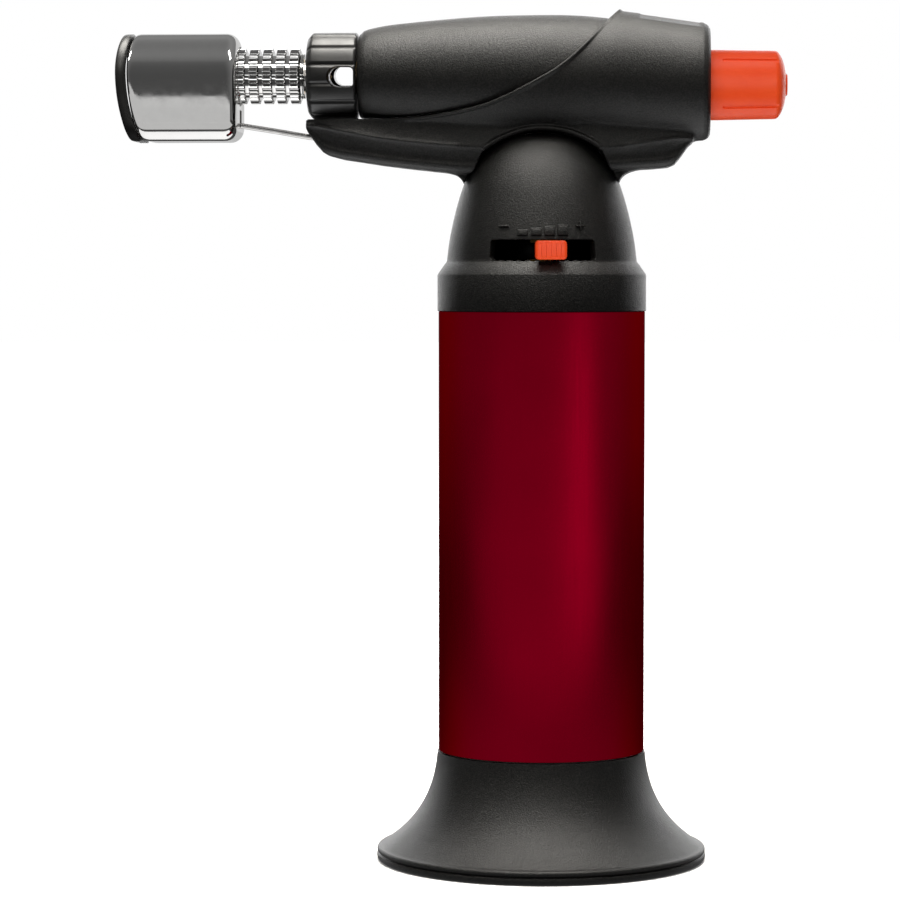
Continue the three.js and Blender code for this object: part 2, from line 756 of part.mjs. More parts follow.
// ---------------------------------------------------------------- burner
// The shield's section at x, drawn in by an inset: a half circle over straight sides.
function shieldRing(x, inset) {
  const half = SHIELD_HALF_WIDTH - inset;
  const bottom = SHIELD_BOTTOM + inset;
  const corner = Math.max(SHIELD_CORNER - inset, 0.6);
  const arc = (cy, cz, radius, from, to, steps) =>
    Array.from({ length: steps + 1 }, (_, i) => {
      const angle = THREE.MathUtils.degToRad(THREE.MathUtils.lerp(from, to, i / steps));
      return [x, cy + radius * Math.cos(angle), cz + radius * Math.sin(angle)];
    });
  return [
    ...arc(0, 0, half, 0, 180, 12),
    ...arc(-half + corner, bottom + corner, corner, 180, 270, 3),
    ...arc(half - corner, bottom + corner, corner, 270, 360, 3),
  ];
}

// Everything behind the curved mouth, at a depth behind the front edge.
function behindMouth(depth) {
  const radius = MOUTH_RADIUS - depth;
  const spread = 0.6; // radians either side of straight ahead
  const outline = new THREE.Shape();
  const rise = MOUTH_CENTRE_RISE;
  outline.absarc(MOUTH_CENTRE_X, rise, radius, Math.PI - spread, Math.PI + spread);
  outline.lineTo(-50, rise - radius * Math.sin(spread));
  outline.lineTo(-50, rise + radius * Math.sin(spread));
  return alongY(outline, -15, 15, 10);
}

function nozzleShield() {
  const outer = loft([
    shieldRing(-95, 0),
    shieldRing(SHIELD_REAR_X - 2.6, 0),
    shieldRing(SHIELD_REAR_X - 0.8, 0.8),
    shieldRing(SHIELD_REAR_X, 2.6),
  ]);
  const inner = loft([
    shieldRing(-96, SHIELD_WALL),
    shieldRing(SHIELD_REAR_X - 2.8, SHIELD_WALL),
    shieldRing(SHIELD_REAR_X - SHIELD_WALL, 2.8),
  ]);
  const barrelHole = turnedX([[-70, 0], [-70, 6.5], [-60, 6.5], [-60, 0]], 20);
  const rodSlot = block([-70, -1.5, -11.3], [-60, 1.5, -8.0]);
  return cut(outer, inner, barrelHole, rodSlot).intersect(behindMouth(RIM_DEPTH + GAP));
}

function shieldFrontRing() {
  const wall = 1.8;
  const outer = loft([shieldRing(-95, 0), shieldRing(-80, 0)]);
  const inner = loft([shieldRing(-96, wall), shieldRing(-79, wall)]);
  return cut(outer, inner).intersect(behindMouth(0)).subtract(behindMouth(RIM_DEPTH));
}

const burnerTube = () => {
  const bore = TUBE_RADIUS - 0.7;
  return turnedX([[-86, bore], [-86, TUBE_RADIUS], [-48.4, TUBE_RADIUS], [-48.4, bore]]);
};

function flameHolder() {
  const front = -87.5;
  const body = turnedX([
    [front, 0],
    [front, 5.6],
    [-79, 5.6],
    [-78, TUBE_RADIUS + GAP],
    [-86.2, TUBE_RADIUS + GAP],
    [-86.2, 0],
  ]);
  const spots = [[0, 0]];
  for (let i = 0; i < 6; i += 1) {
    spots.push([2.1 * Math.cos((i * Math.PI) / 3), 2.1 * Math.sin((i * Math.PI) / 3)]);
  }
  const holes = spots.map(([y, z]) =>
    turnedX([[front - 1, 0], [front - 1, 0.6], [-85, 0.6], [-85, 0]], 6).translate([0, y, z]),
  );
  return cut(body, ...holes);
}

function burnerBarrel() {
  const bore = TUBE_RADIUS + GAP;
  const profile = [[-70.5, bore], [-70.5, CORE_RADIUS]];
  for (let i = 0; i < FIN_COUNT; i += 1) {
    const start = FIN_START_X + i * FIN_PITCH;
    profile.push([start, CORE_RADIUS], [start, FIN_RADIUS]);
    profile.push([start + FIN_WIDTH, FIN_RADIUS], [start + FIN_WIDTH, CORE_RADIUS]);
  }
  profile.pop();
  const rear = FIN_START_X + (FIN_COUNT - 1) * FIN_PITCH + FIN_WIDTH;
  profile.push([rear, bore]);
  return turnedX(profile);
}

const barrelWasher = (front, thickness) => {
  const bore = TUBE_RADIUS + GAP;
  return turnedX([[front, bore], [front, 4.9], [front + thickness, 4.9], [front + thickness, bore]]);
};

// The air hole's outline in X and Z, grown all round.
function airHoleShape(grow) {
  const half = AIR_HOLE_LENGTH / 2 + grow;
  const tall = AIR_HOLE_HEIGHT / 2 + grow;
  const corner = 1.1 + grow;
  return shapeOf([
    [AIR_HOLE_X - half, -tall + corner],
    [AIR_HOLE_X - half + corner, -tall],
    [AIR_HOLE_X + half - corner, -tall],
    [AIR_HOLE_X + half, -tall + corner],
    [AIR_HOLE_X + half, tall - corner],
    [AIR_HOLE_X + half - corner, tall],
    [AIR_HOLE_X - half + corner, tall],
    [AIR_HOLE_X - half, tall - corner],
  ]);
}

function airRing() {
  const chamfer = 1.1;
  const bore = MIXER_RADIUS + GAP;
  const ring = turnedX(
    [
      [AIR_RING_FRONT_X, bore],
      [AIR_RING_FRONT_X, AIR_RING_RADIUS - chamfer],
      [AIR_RING_FRONT_X + chamfer, AIR_RING_RADIUS],
      [AIR_RING_REAR_X - chamfer / 2, AIR_RING_RADIUS],
      [AIR_RING_REAR_X, AIR_RING_RADIUS - chamfer / 2],
      [AIR_RING_REAR_X, bore],
    ],
    24,
  );
  return cut(ring, alongY(airHoleShape(0), -15, 15));
}

function mixerTube() {
  const bore = 3.0;
  const socket = TUBE_RADIUS + GAP;
  const tube = turnedX([
    [AIR_RING_FRONT_X + GAP, socket],
    [AIR_RING_FRONT_X + GAP, MIXER_RADIUS],
    [-33.7, MIXER_RADIUS],
    [-33.7, bore],
    [-48.0, bore],
    [-48.0, socket],
  ]);
  return cut(tube, alongY(airHoleShape(0.5), -15, 15));
}

const gasJet = () =>
  turnedX([[-40.2, 0.4], [-40.2, 0.9], [-38.6, 2.2], [-31.0, 2.2], [-31.0, 0.4]], TINY_ROUND);

const jetHolder = () =>
  turnedX([
    [-33.4, 2.55],
    [-33.4, 5.2],
    [-24.0, 5.2],
    [-22.5, 3.0],
    [-22.5, 0.65],
    [-16.5, 0.65],
    [-16.5, 0.35],
    [-30.7, 0.35],
    [-30.7, 2.55],
  ]);

add(burner, "nozzle_shield", nozzleShield(), CHROME);
add(burner, "shield_front_ring", shieldFrontRing(), BLACK_SATIN);
add(burner, "burner_tube", burnerTube(), STEEL);
add(burner, "flame_holder", flameHolder(), CERAMIC);
add(burner, "burner_barrel", burnerBarrel(), CHROME);
add(burner, "barrel_washer_1", barrelWasher(-52.85, 0.45), CHROME);
add(burner, "barrel_washer_2", barrelWasher(-52.32, 0.32), CHROME);
add(burner, "air_ring", airRing(), BLACK_SATIN);
add(burner, "mixer_tube", mixerTube(), BRASS);
add(burner, "gas_jet", gasJet(), BRASS);
add(burner, "jet_holder", jetHolder(), BRASS);

// ---------------------------------------------------------------- electrode, cable and hose
const ELECTRODE_Z = 158.8;

const electrodeRod = () =>
  tubeAlong(
    curveThrough([
      [-89.3, 0, 168.2],
      [-88.8, 0, 166.3],
      [-86.5, 0, 165.0],
      [-78, 0, 163.6],
      [-66, 0, 161.7],
      [-58, 0, 160.4],
      [-51, 0, 159.2],
      [-47, 0, ELECTRODE_Z],
      [-41, 0, ELECTRODE_Z],
    ]),
    0.6,
    20,
    0,
    3,
  );

const electrodeInsulator = () =>
  turnedX([[-47.8, 1.0], [-47.8, 1.9], [-38.4, 1.9], [-38.4, 1.0]], SMALL_ROUND, ELECTRODE_Z);

const ignitionCable = () =>
  tubeAlong(
    curveThrough([
      [-38.0, 0, ELECTRODE_Z],
      [-31, 0, 159.3],
      [-24, 0, 161.0],
      [-19.5, 0.2, 163.0],
      [-15, 2.4, 164.8],
      [-9, 5.2, 165.8],
      [-2, 6.0, 166.4],
      [3.5, 4.6, 168.0],
      [6.2, 2.4, 169.5],
    ]),
    0.9,
    22,
  );

const gasHose = () =>
  tubeAlong(
    curveThrough([
      [0, 0, 165.0],
      [0, 0, 168.0],
      [-2.5, 0, 171.2],
      [-7, 0, 172.4],
      [-14, 0, BURNER_Z],
      [-22.1, 0, BURNER_Z],
    ]),
    1.8,
    14,
    1.05,
  );

add(head, "electrode_rod", electrodeRod(), STEEL);
add(head, "electrode_insulator", electrodeInsulator(), CERAMIC);
add(head, "ignition_cable", ignitionCable(), RUBBER);
add(head, "gas_hose", gasHose(), IVORY_PLASTIC);

// ---------------------------------------------------------------- igniter, button and release lever
// The finger under the button ends in a ramp that lifts the lever as the button goes in.
const FOLLOWER_X = 16.4;
const RAMP_LOW_Z = 158.0;
const RAMP_SLOPE = 0.395;

function ignitionButton() {
  const bore = 6.2;
  const cap = turnedX(
    [
      [FLANGE_X, bore],
      [FLANGE_X, FLANGE_RADIUS],
      [FLANGE_X + 1.5, FLANGE_RADIUS],
      [FLANGE_X + 1.5, BUTTON_RADIUS],
      [51.4, 7.45],
      [52.5, 6.6],
      [53.2, 4.2],
      [BUTTON_END_X, 2.4],
      [BUTTON_END_X, 0],
      [50.0, 0],
      [50.0, bore],
    ],
    24,
  );
  const low = RAMP_LOW_Z - BUTTON_Z;
  const rampLength = BUTTON_TRAVEL + 1.2;
  const finger = shapeOf([
    [FOLLOWER_X - 1.2, low - 1.0],
    [30.0, low - 1.0],
    [33.0, low + 2.4],
    [FLANGE_X + 1.5, low + 2.4],
    [FLANGE_X + 1.5, -7.0],
    [FLANGE_X, -7.0],
    [31.0, low + 3.6],
    [FOLLOWER_X + rampLength, low + RAMP_SLOPE * rampLength],
    [FOLLOWER_X - 1.2, low - RAMP_SLOPE * 1.2],
  ]);
  return join(cap, alongY(finger, -1.8, 1.8));
}

function piezoBody() {
  const half = PIEZO_SIDE / 2;
  const pocket = PLUNGER_SIDE / 2 + GAP;
  const body = block([PIEZO_FRONT_X, -half, -half], [PIEZO_REAR_X, half, half]);
  return cut(body, block([12.5, -pocket, -pocket], [PIEZO_REAR_X + 1, pocket, pocket]));
}

function piezoPlunger() {
  const half = PLUNGER_SIDE / 2;
  return block([20.2, -half, -half], [49.7, half, half]);
}

function buttonSpring() {
  const start = PIEZO_REAR_X + GAP;
  const spring = coilSpring(5.1, 0.7, 50.0 - GAP - start, 6, 10);
  return solid(spring.rotateY(Math.PI / 2).translate(start, 0, 0));
}

function releaseLever() {
  const outline = shapeOf([
    [PIVOT_X - 2.2, PIVOT_Z - 1.9],
    [PIVOT_X + 2.2, PIVOT_Z - 1.9],
    [PIVOT_X + 3.4, 160.4],
    [11.5, 160.4],
    [FOLLOWER_X - 1.4, RAMP_LOW_Z + 0.9],
    [FOLLOWER_X, RAMP_LOW_Z + GAP + 0.1],
    [FOLLOWER_X + 1.0, RAMP_LOW_Z + 0.9],
    [FOLLOWER_X + 1.2, 160.2],
    [14.5, 162.1],
    [PIVOT_X + 3.4, 162.1],
    [PIVOT_X + 2.2, PIVOT_Z + 1.9],
    [PIVOT_X - 2.2, PIVOT_Z + 1.9],
  ]);
  const wide = alongY(outline, -LEVER_HALF_WIDTH, LEVER_HALF_WIDTH);
  const fork = block([-1.9, -1.65, 158], [4.0, 1.65, 164]);
  const pinHole = turnedY([[-5, 0], [-5, 1.15], [5, 1.15], [5, 0]], PIVOT_X, PIVOT_Z);
  const nose = block([10, -5, 150], [20, -1.6, 170]);
  const noseFar = block([10, 1.6, 150], [20, 5, 170]);
  return cut(wide, fork, pinHole, nose, noseFar);
}

const leverPin = () => turnedY([[-4.6, 0], [-4.6, 0.85], [4.6, 0.85], [4.6, 0]], PIVOT_X, PIVOT_Z);

add(igniter, "ignition_button", ignitionButton(), ORANGE_PLASTIC);
add(igniter, "piezo_body", piezoBody(), IVORY_PLASTIC);
add(igniter, "piezo_plunger", piezoPlunger(), IVORY_PLASTIC);
add(igniter, "button_spring", buttonSpring(), STEEL);
add(head, "release_lever", releaseLever(), STEEL);
add(head, "lever_pin", leverPin(), STEEL);

export default torch;
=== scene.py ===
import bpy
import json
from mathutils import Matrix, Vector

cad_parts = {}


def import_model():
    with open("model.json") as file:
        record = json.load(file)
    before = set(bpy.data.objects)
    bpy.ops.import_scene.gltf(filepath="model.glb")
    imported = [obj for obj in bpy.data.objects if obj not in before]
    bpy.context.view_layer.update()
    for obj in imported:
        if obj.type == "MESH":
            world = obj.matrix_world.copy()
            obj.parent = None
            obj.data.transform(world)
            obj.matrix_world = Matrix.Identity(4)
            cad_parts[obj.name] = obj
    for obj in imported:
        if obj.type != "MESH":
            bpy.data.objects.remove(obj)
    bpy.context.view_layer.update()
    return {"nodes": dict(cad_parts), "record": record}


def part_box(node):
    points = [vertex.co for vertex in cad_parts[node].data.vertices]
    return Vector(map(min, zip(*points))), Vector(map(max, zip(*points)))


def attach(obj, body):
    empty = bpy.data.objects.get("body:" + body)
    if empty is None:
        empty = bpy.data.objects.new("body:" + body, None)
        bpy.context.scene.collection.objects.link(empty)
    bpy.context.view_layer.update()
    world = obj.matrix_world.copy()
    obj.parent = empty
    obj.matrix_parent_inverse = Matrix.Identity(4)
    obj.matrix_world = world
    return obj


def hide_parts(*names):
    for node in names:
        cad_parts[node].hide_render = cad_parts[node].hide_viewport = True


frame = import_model()

import json
import math

import bmesh
import bpy
from mathutils import Matrix, Vector

MM = 0.001


# ---------------------------------------------------------------- places, from the frame
def centre(node):
    low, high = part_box(node)
    return (Vector(low) + Vector(high)) / 2


TANK_X = centre("tank_sleeve").x / MM
BURNER_Z = centre("air_ring").z / MM
BUTTON_Z = centre("piezo_plunger").z / MM
SLEEVE_LOW, SLEEVE_HIGH = (corner[2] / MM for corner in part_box("tank_sleeve"))
SLEEVE_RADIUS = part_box("tank_sleeve")[1][1] / MM
SKIRT_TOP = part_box("base_skirt")[1][2] / MM
COLLAR_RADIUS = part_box("neck_cover")[1][1] / MM
RING_FRONT, RING_REAR = (corner[0] / MM - TANK_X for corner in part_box("air_ring"))
RING_RADIUS = (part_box("air_ring")[1][2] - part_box("air_ring")[0][2]) / 2 / MM
RIM_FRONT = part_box("shield_front_ring")[0][0] / MM - TANK_X
SHIELD_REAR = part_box("nozzle_shield")[1][0] / MM - TANK_X
SHIELD_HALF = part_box("nozzle_shield")[1][1] / MM
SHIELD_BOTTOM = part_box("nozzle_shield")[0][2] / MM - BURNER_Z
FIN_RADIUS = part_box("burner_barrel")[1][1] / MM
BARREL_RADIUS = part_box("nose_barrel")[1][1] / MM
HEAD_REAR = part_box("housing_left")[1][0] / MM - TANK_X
SCREW_NODES = [f"housing_screw_{i}" for i in range(1, 5)]
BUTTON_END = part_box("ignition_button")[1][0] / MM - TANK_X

UPRIGHT = Vector((TANK_X, 0, 0))  # local origin of pieces about the tank axis
BURNER = Vector((TANK_X, 0, BURNER_Z))  # of pieces about the burner axis
IGNITER = Vector((TANK_X, 0, BUTTON_Z))  # of the button

ROUND = 160  # sides of a large turned piece


# ---------------------------------------------------------------- mesh tools
def make_object(name, vertices, faces, origin=UPRIGHT):
    """A mesh object from local millimetre points about an origin."""
    mesh = bpy.data.meshes.new(name)
    mesh.from_pydata([(Vector(v) + origin) * MM for v in vertices], [], faces)
    mesh.validate()
    made = bpy.data.objects.new(name, mesh)
    bpy.context.scene.collection.objects.link(made)
    weld = bmesh.new()
    weld.from_mesh(mesh)
    bmesh.ops.remove_doubles(weld, verts=weld.verts, dist=1e-7)
    bmesh.ops.recalc_face_normals(weld, faces=weld.faces)
    weld.to_mesh(mesh)
    weld.free()
    return made


def grid_faces(rows, columns, wrap_rows):
    """Quads over rows of points; each row closes on itself, and the rows may as well."""
    faces = []
    for r in range(rows if wrap_rows else rows - 1):
        for c in range(columns):
            d = (c + 1) % columns
            s = (r + 1) % rows
            faces.append((r * columns + c, r * columns + d, s * columns + d, s * columns + c))
    return faces


def loft(name, rings, origin=UPRIGHT, closed=False):
    """A skin over rings of points. Open ends get a cap; closed joins the last ring to the first."""
    columns = len(rings[0])
    points = [point for ring in rings for point in ring]
    faces = grid_faces(len(rings), columns, closed)
    if not closed:
        faces.append(tuple(range(columns)))
        faces.append(tuple(len(points) - 1 - i for i in range(columns)))
    return make_object(name, points, faces, origin)


def turned(name, profile, axis="Z", origin=UPRIGHT, sides=ROUND):
    """A turned piece from (radius, along) pairs: it ends on the axis, or closes on itself."""
    on_axis = profile[0][0] == 0 and profile[-1][0] == 0
    rings = []
    for radius, along in profile:
        radius = max(radius, 1e-4)
        ring = []
        for i in range(sides):
            angle = 2 * math.pi * i / sides
            a, b = radius * math.cos(angle), radius * math.sin(angle)
            ring.append({"Z": (a, b, along), "X": (along, a, b), "Y": (b, along, a)}[axis])
        rings.append(ring)
    return loft(name, rings, origin, closed=not on_axis)


def tube(name, path, radius, sides=16):
    """A round rod along a path of points."""
    rings = []
    across = Vector((0, 1, 0))
    for i, place in enumerate(path):
        ahead = (path[min(i + 1, len(path) - 1)] - path[max(i - 1, 0)]).normalized()
        across = (across - ahead * across.dot(ahead)).normalized()
        up = across.cross(ahead)
        angles = [2 * math.pi * k / sides for k in range(sides)]
        rings.append([tuple(place + (across * math.cos(a) + up * math.sin(a)) * radius) for a in angles])
    return loft(name, rings)


def prism(name, outline, start, end, plane="XZ", origin=UPRIGHT):
    """An outline pushed from start to end along the axis that its plane leaves out."""
    place = {
        "XZ": lambda a, b, c: (a, c, b),
        "XY": lambda a, b, c: (a, b, c),
        "YZ": lambda a, b, c: (c, a, b),
    }[plane]
    return loft(name, [[place(a, b, c) for a, b in outline] for c in (start, end)], origin)


def evaluated(made):
    """Applies every modifier on an object."""
    graph = bpy.context.evaluated_depsgraph_get()
    mesh = bpy.data.meshes.new_from_object(made.evaluated_get(graph))
    made.modifiers.clear()
    old = made.data
    made.data = mesh
    bpy.data.meshes.remove(old)
    return made


def boolean(made, tool, operation="DIFFERENCE", keep=False):
    modifier = made.modifiers.new("boolean", "BOOLEAN")
    modifier.operation = operation
    modifier.solver = "EXACT"
    modifier.object = tool
    evaluated(made)
    if not keep:
        bpy.data.objects.remove(tool)
    return made


def absorb(made, *parts):
    """Adds other closed meshes to a piece that is about to be remeshed into one skin."""
    mixed = bmesh.new()
    mixed.from_mesh(made.data)
    for part in parts:
        mixed.from_mesh(part.data)
        bpy.data.objects.remove(part)
    mixed.to_mesh(made.data)
    mixed.free()
    return made


def copy_of(made, name):
    """A second object with a mesh of its own."""
    twin = made.copy()
    twin.data = made.data.copy()
    twin.name = name
    bpy.context.scene.collection.objects.link(twin)
    return twin


def bevel(made, width, segments=3, angle=35):
    modifier = made.modifiers.new("bevel", "BEVEL")
    modifier.width = width * MM
    modifier.segments = segments
    modifier.limit_method = "ANGLE"
    modifier.angle_limit = math.radians(angle)
    return evaluated(made)


def remesh(made, voxel, smoothing=2, factor=0.5):
    """An even fine mesh, with its edges softened by a few rounds of smoothing."""
    modifier = made.modifiers.new("remesh", "REMESH")
    modifier.mode = "VOXEL"
    modifier.voxel_size = voxel * MM
    modifier.use_smooth_shade = True
    if smoothing:
        soften = made.modifiers.new("soften", "SMOOTH")
        soften.iterations = smoothing
        soften.factor = factor
    return evaluated(made)


def thin_out(made, ratio):
    modifier = made.modifiers.new("thin", "DECIMATE")
    modifier.ratio = ratio
    return evaluated(made)


def shade(made, angle=40):
    made.data.shade_smooth()
    made.data.set_sharp_from_angle(angle=math.radians(angle))
    return made


def finish_piece(made, body, slot, material, *nodes):
    """Gives the piece its finish, hides the CAD nodes it stands for and hangs it under its body's empty."""
    made.data.materials.clear()
    made.data.materials.append(material)
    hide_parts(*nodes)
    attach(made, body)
    return made


# ---------------------------------------------------------------- curves
def bezier(points, steps):
    p0, p1, p2, p3 = (Vector(p) for p in points)
    found = []
    for i in range(steps + 1):
        t = i / steps
        s = 1 - t
        found.append(tuple(p0 * s**3 + p1 * 3 * s * s * t + p2 * 3 * s * t * t + p3 * t**3))
    return found


def spline(points, steps):
    """A smooth curve through points of any length, as steps points a stretch."""
    points = [Vector(p) for p in points]
    ends = [points[0] * 2 - points[1], *points, points[-1] * 2 - points[-2]]
    found = []
    for i in range(1, len(ends) - 2):
        a, b, c, d = ends[i - 1 : i + 3]
        for k in range(steps):
            t = k / steps
            straight = 2 * b + (c - a) * t
            bend = (2 * a - 5 * b + 4 * c - d) * t**2
            twist = (3 * b - a - 3 * c + d) * t**3
            found.append(0.5 * (straight + bend + twist))
    found.append(points[-1])
    return [tuple(p) for p in found]


def arc(cx, cy, radius, start, end, steps):
    """Points on an arc, by angles in degrees."""
    angles = [math.radians(start + (end - start) * i / steps) for i in range(steps + 1)]
    return [(cx + radius * math.cos(a), cy + radius * math.sin(a)) for a in angles]


def sample(curve, at):
    """A function's value at a place, read off a list of (place, value) points in rising order."""
    for (x0, v0), (x1, v1) in zip(curve, curve[1:]):
        if at <= x1:
            return v0 + (v1 - v0) * (at - x0) / (x1 - x0)
    return curve[-1][1]


# ---------------------------------------------------------------- materials
class Nodes:
    """A node tree, with short calls to fill it."""

    def __init__(self, tree):
        self.tree = tree

    def add(self, kind, **settings):
        node = self.tree.nodes.new(kind)
        for key, value in settings.items():
            if key in node.inputs:
                node.inputs[key].default_value = value
            else:
                setattr(node, key, value)
        return node

    def link(self, output, target):
        self.tree.links.new(output, target)

    def ramp(self, source, *stops):
        """A colour ramp from (position, grey or colour) stops."""
        node = self.add("ShaderNodeValToRGB")
        elements = node.color_ramp.elements
        for i, (position, colour) in enumerate(stops):
            element = elements[i] if i < 2 else elements.new(position)
            element.position = position
            grey = isinstance(colour, (int, float))
            element.color = (colour, colour, colour, 1) if grey else (*colour, 1)
        self.link(source, node.inputs["Fac"])
        return node.outputs["Color"]


class Finish(Nodes):
    """A material of procedural detail around one Principled shader."""

    def __init__(self, name):
        self.material = bpy.data.materials.new(name)
        self.material.use_nodes = True
        super().__init__(self.material.node_tree)
        self.shader = self.tree.nodes["Principled BSDF"]
        self.place = self.add("ShaderNodeTexCoord").outputs["Object"]

    def set(self, **values):
        for key, value in values.items():
            self.shader.inputs[key.replace("_", " ")].default_value = value

    def wire(self, name, output):
        self.link(output, self.shader.inputs[name])

    def noise(self, size, detail=2.0, roughness=0.5, stretch=None):
        """Noise whose lumps are about size millimetres across."""
        node = self.add("ShaderNodeTexNoise", Scale=1 / (size * MM), Detail=detail, Roughness=roughness)
        source = self.place
        if stretch:
            mapping = self.add("ShaderNodeMapping")
            mapping.inputs["Scale"].default_value = stretch
            self.link(source, mapping.inputs["Vector"])
            source = mapping.outputs["Vector"]
        self.link(source, node.inputs["Vector"])
        return node.outputs["Fac"]

    def bump(self, source, distance, strength=1.0, under=None):
        node = self.add("ShaderNodeBump", Distance=distance * MM, Strength=strength)
        self.link(source, node.inputs["Height"])
        if under is not None:
            self.link(under, node.inputs["Normal"])
        return node.outputs["Normal"]


def textured_black():
    """Spark-eroded matte black moulding: fine sand grain, with smoother worn patches."""
    n = Finish("textured_black")
    n.set(Specular_IOR_Level=0.38)
    grain = n.noise(0.34, detail=3, roughness=0.8)
    coarse = n.noise(0.9, detail=2)
    patches = n.noise(16, detail=3)
    n.wire("Base Color", n.ramp(grain, (0.44, (0.001, 0.0009, 0.0007)), (0.58, (0.013, 0.0126, 0.0116))))
    n.wire("Roughness", n.ramp(patches, (0.35, 0.38), (0.7, 0.44)))
    n.wire("Normal", n.bump(grain, 0.13, 1.0, under=n.bump(coarse, 0.03, 0.3)))
    return n.material


def satin_black():
    """Smoother black moulding with faint flow marks."""
    n = Finish("satin_black")
    n.set(Roughness=0.38)
    grain = n.noise(0.25, detail=2)
    n.wire("Base Color", n.ramp(grain, (0.3, (0.009, 0.009, 0.009)), (0.7, (0.015, 0.0148, 0.0145))))
    n.wire("Roughness", n.ramp(n.noise(3.5, detail=3), (0.3, 0.33), (0.75, 0.45)))
    n.wire("Normal", n.bump(grain, 0.012, 0.6))
    return n.material


def orange_plastic():
    """Satin orange moulding, slightly cloudy, with a fine moulded grain."""
    n = Finish("orange_plastic")
    n.set(Specular_IOR_Level=0.25)
    cloud = n.noise(5, detail=4, roughness=0.6)
    grain = n.noise(0.3, detail=2)
    n.wire("Base Color", n.ramp(cloud, (0.3, (0.82, 0.060, 0.008)), (0.7, (0.88, 0.078, 0.012))))
    n.wire("Roughness", n.ramp(n.noise(1.2, detail=3), (0.3, 0.36), (0.75, 0.48)))
    n.wire("Normal", n.bump(grain, 0.014, 0.5))
    n.set(Subsurface_Weight=0.05, Subsurface_Scale=0.001)
    return n.material


def anodised_red():
    """Crimson anodised aluminium tube: satin, with faint lines drawn along it."""
    n = Finish("anodised_red")
    n.set(Metallic=1.0, Anisotropic=0.25, Specular_Tint=(0.32, 0.0, 0.06, 1))
    drawn = n.noise(0.22, detail=3, stretch=(1, 1, 0.015))
    cloud = n.noise(22, detail=3)
    n.wire("Base Color", n.ramp(cloud, (0.25, (0.46, 0.0, 0.022)), (0.8, (0.54, 0.0, 0.026))))
    n.wire("Roughness", n.ramp(drawn, (0.3, 0.36), (0.75, 0.44)))
    n.wire("Normal", n.bump(drawn, 0.004, 0.35))
    return n.material


def chrome():
    """Bright chrome plate over pressed steel, with very slight waviness and handling haze."""
    n = Finish("chrome")
    n.set(Metallic=1.0)
    wave = n.noise(7, detail=1)
    haze = n.noise(2.2, detail=4, roughness=0.6)
    n.wire("Roughness", n.ramp(haze, (0.35, 0.035), (0.8, 0.09)))
    n.wire("Base Color", n.ramp(haze, (0.2, (0.70, 0.695, 0.685)), (0.85, (0.66, 0.655, 0.645))))
    n.wire("Normal", n.bump(wave, 0.006, 0.06))
    return n.material


def bright_steel():
    n = Finish("bright_steel")
    n.set(Metallic=1.0)
    drawn = n.noise(0.3, detail=3, stretch=(0.05, 1, 1))
    n.wire("Base Color", n.ramp(n.noise(4), (0.3, (0.55, 0.54, 0.53)), (0.7, (0.66, 0.65, 0.64))))
    n.wire("Roughness", n.ramp(drawn, (0.3, 0.16), (0.7, 0.32)))
    n.wire("Normal", n.bump(drawn, 0.005, 0.4))
    return n.material


def brass():
    n = Finish("brass")
    n.set(Metallic=1.0)
    turned_marks = n.noise(0.25, detail=3, stretch=(0.2, 0.2, 1))
    n.wire("Base Color", n.ramp(n.noise(3, detail=4), (0.3, (0.55, 0.36, 0.12)), (0.7, (0.72, 0.50, 0.19))))
    n.wire("Roughness", n.ramp(turned_marks, (0.3, 0.2), (0.7, 0.36)))
    n.wire("Normal", n.bump(turned_marks, 0.006, 0.5))
    return n.material


def moulded(name, dark, light, roughness, grain_size=0.3, depth=0.01):
    """A plain moulded or fired piece: cloudy colour, uneven gloss and fine grain."""
    n = Finish(name)
    grain = n.noise(grain_size, detail=3)
    n.wire("Base Color", n.ramp(n.noise(4, detail=4), (0.3, dark), (0.7, light)))
    n.wire("Roughness", n.ramp(n.noise(1.5, detail=3), (0.3, roughness), (0.75, roughness + 0.12)))
    n.wire("Normal", n.bump(grain, depth, 0.6))
    return n.material


MATERIALS = {
    "black_textured_plastic": textured_black(),
    "black_satin_plastic": satin_black(),
    "orange_plastic": orange_plastic(),
    "red_anodised_aluminium": anodised_red(),
    "chrome_plate": chrome(),
    "bright_steel": bright_steel(),
    "brass": brass(),
    "ceramic": moulded("ceramic", (0.62, 0.58, 0.5), (0.78, 0.74, 0.66), 0.4, depth=0.02),
    "rubber": moulded("rubber", (0.008, 0.008, 0.008), (0.018, 0.018, 0.018), 0.62),
    "tank_plastic": moulded("tank_plastic", (0.55, 0.55, 0.5), (0.66, 0.66, 0.62), 0.4),
    "ivory_plastic": moulded("ivory_plastic", (0.66, 0.62, 0.5), (0.76, 0.72, 0.6), 0.35),
}


def put(made, slot, body, *nodes):
    return finish_piece(made, body, slot, MATERIALS[slot], *nodes)


ROOT = "torch_body"


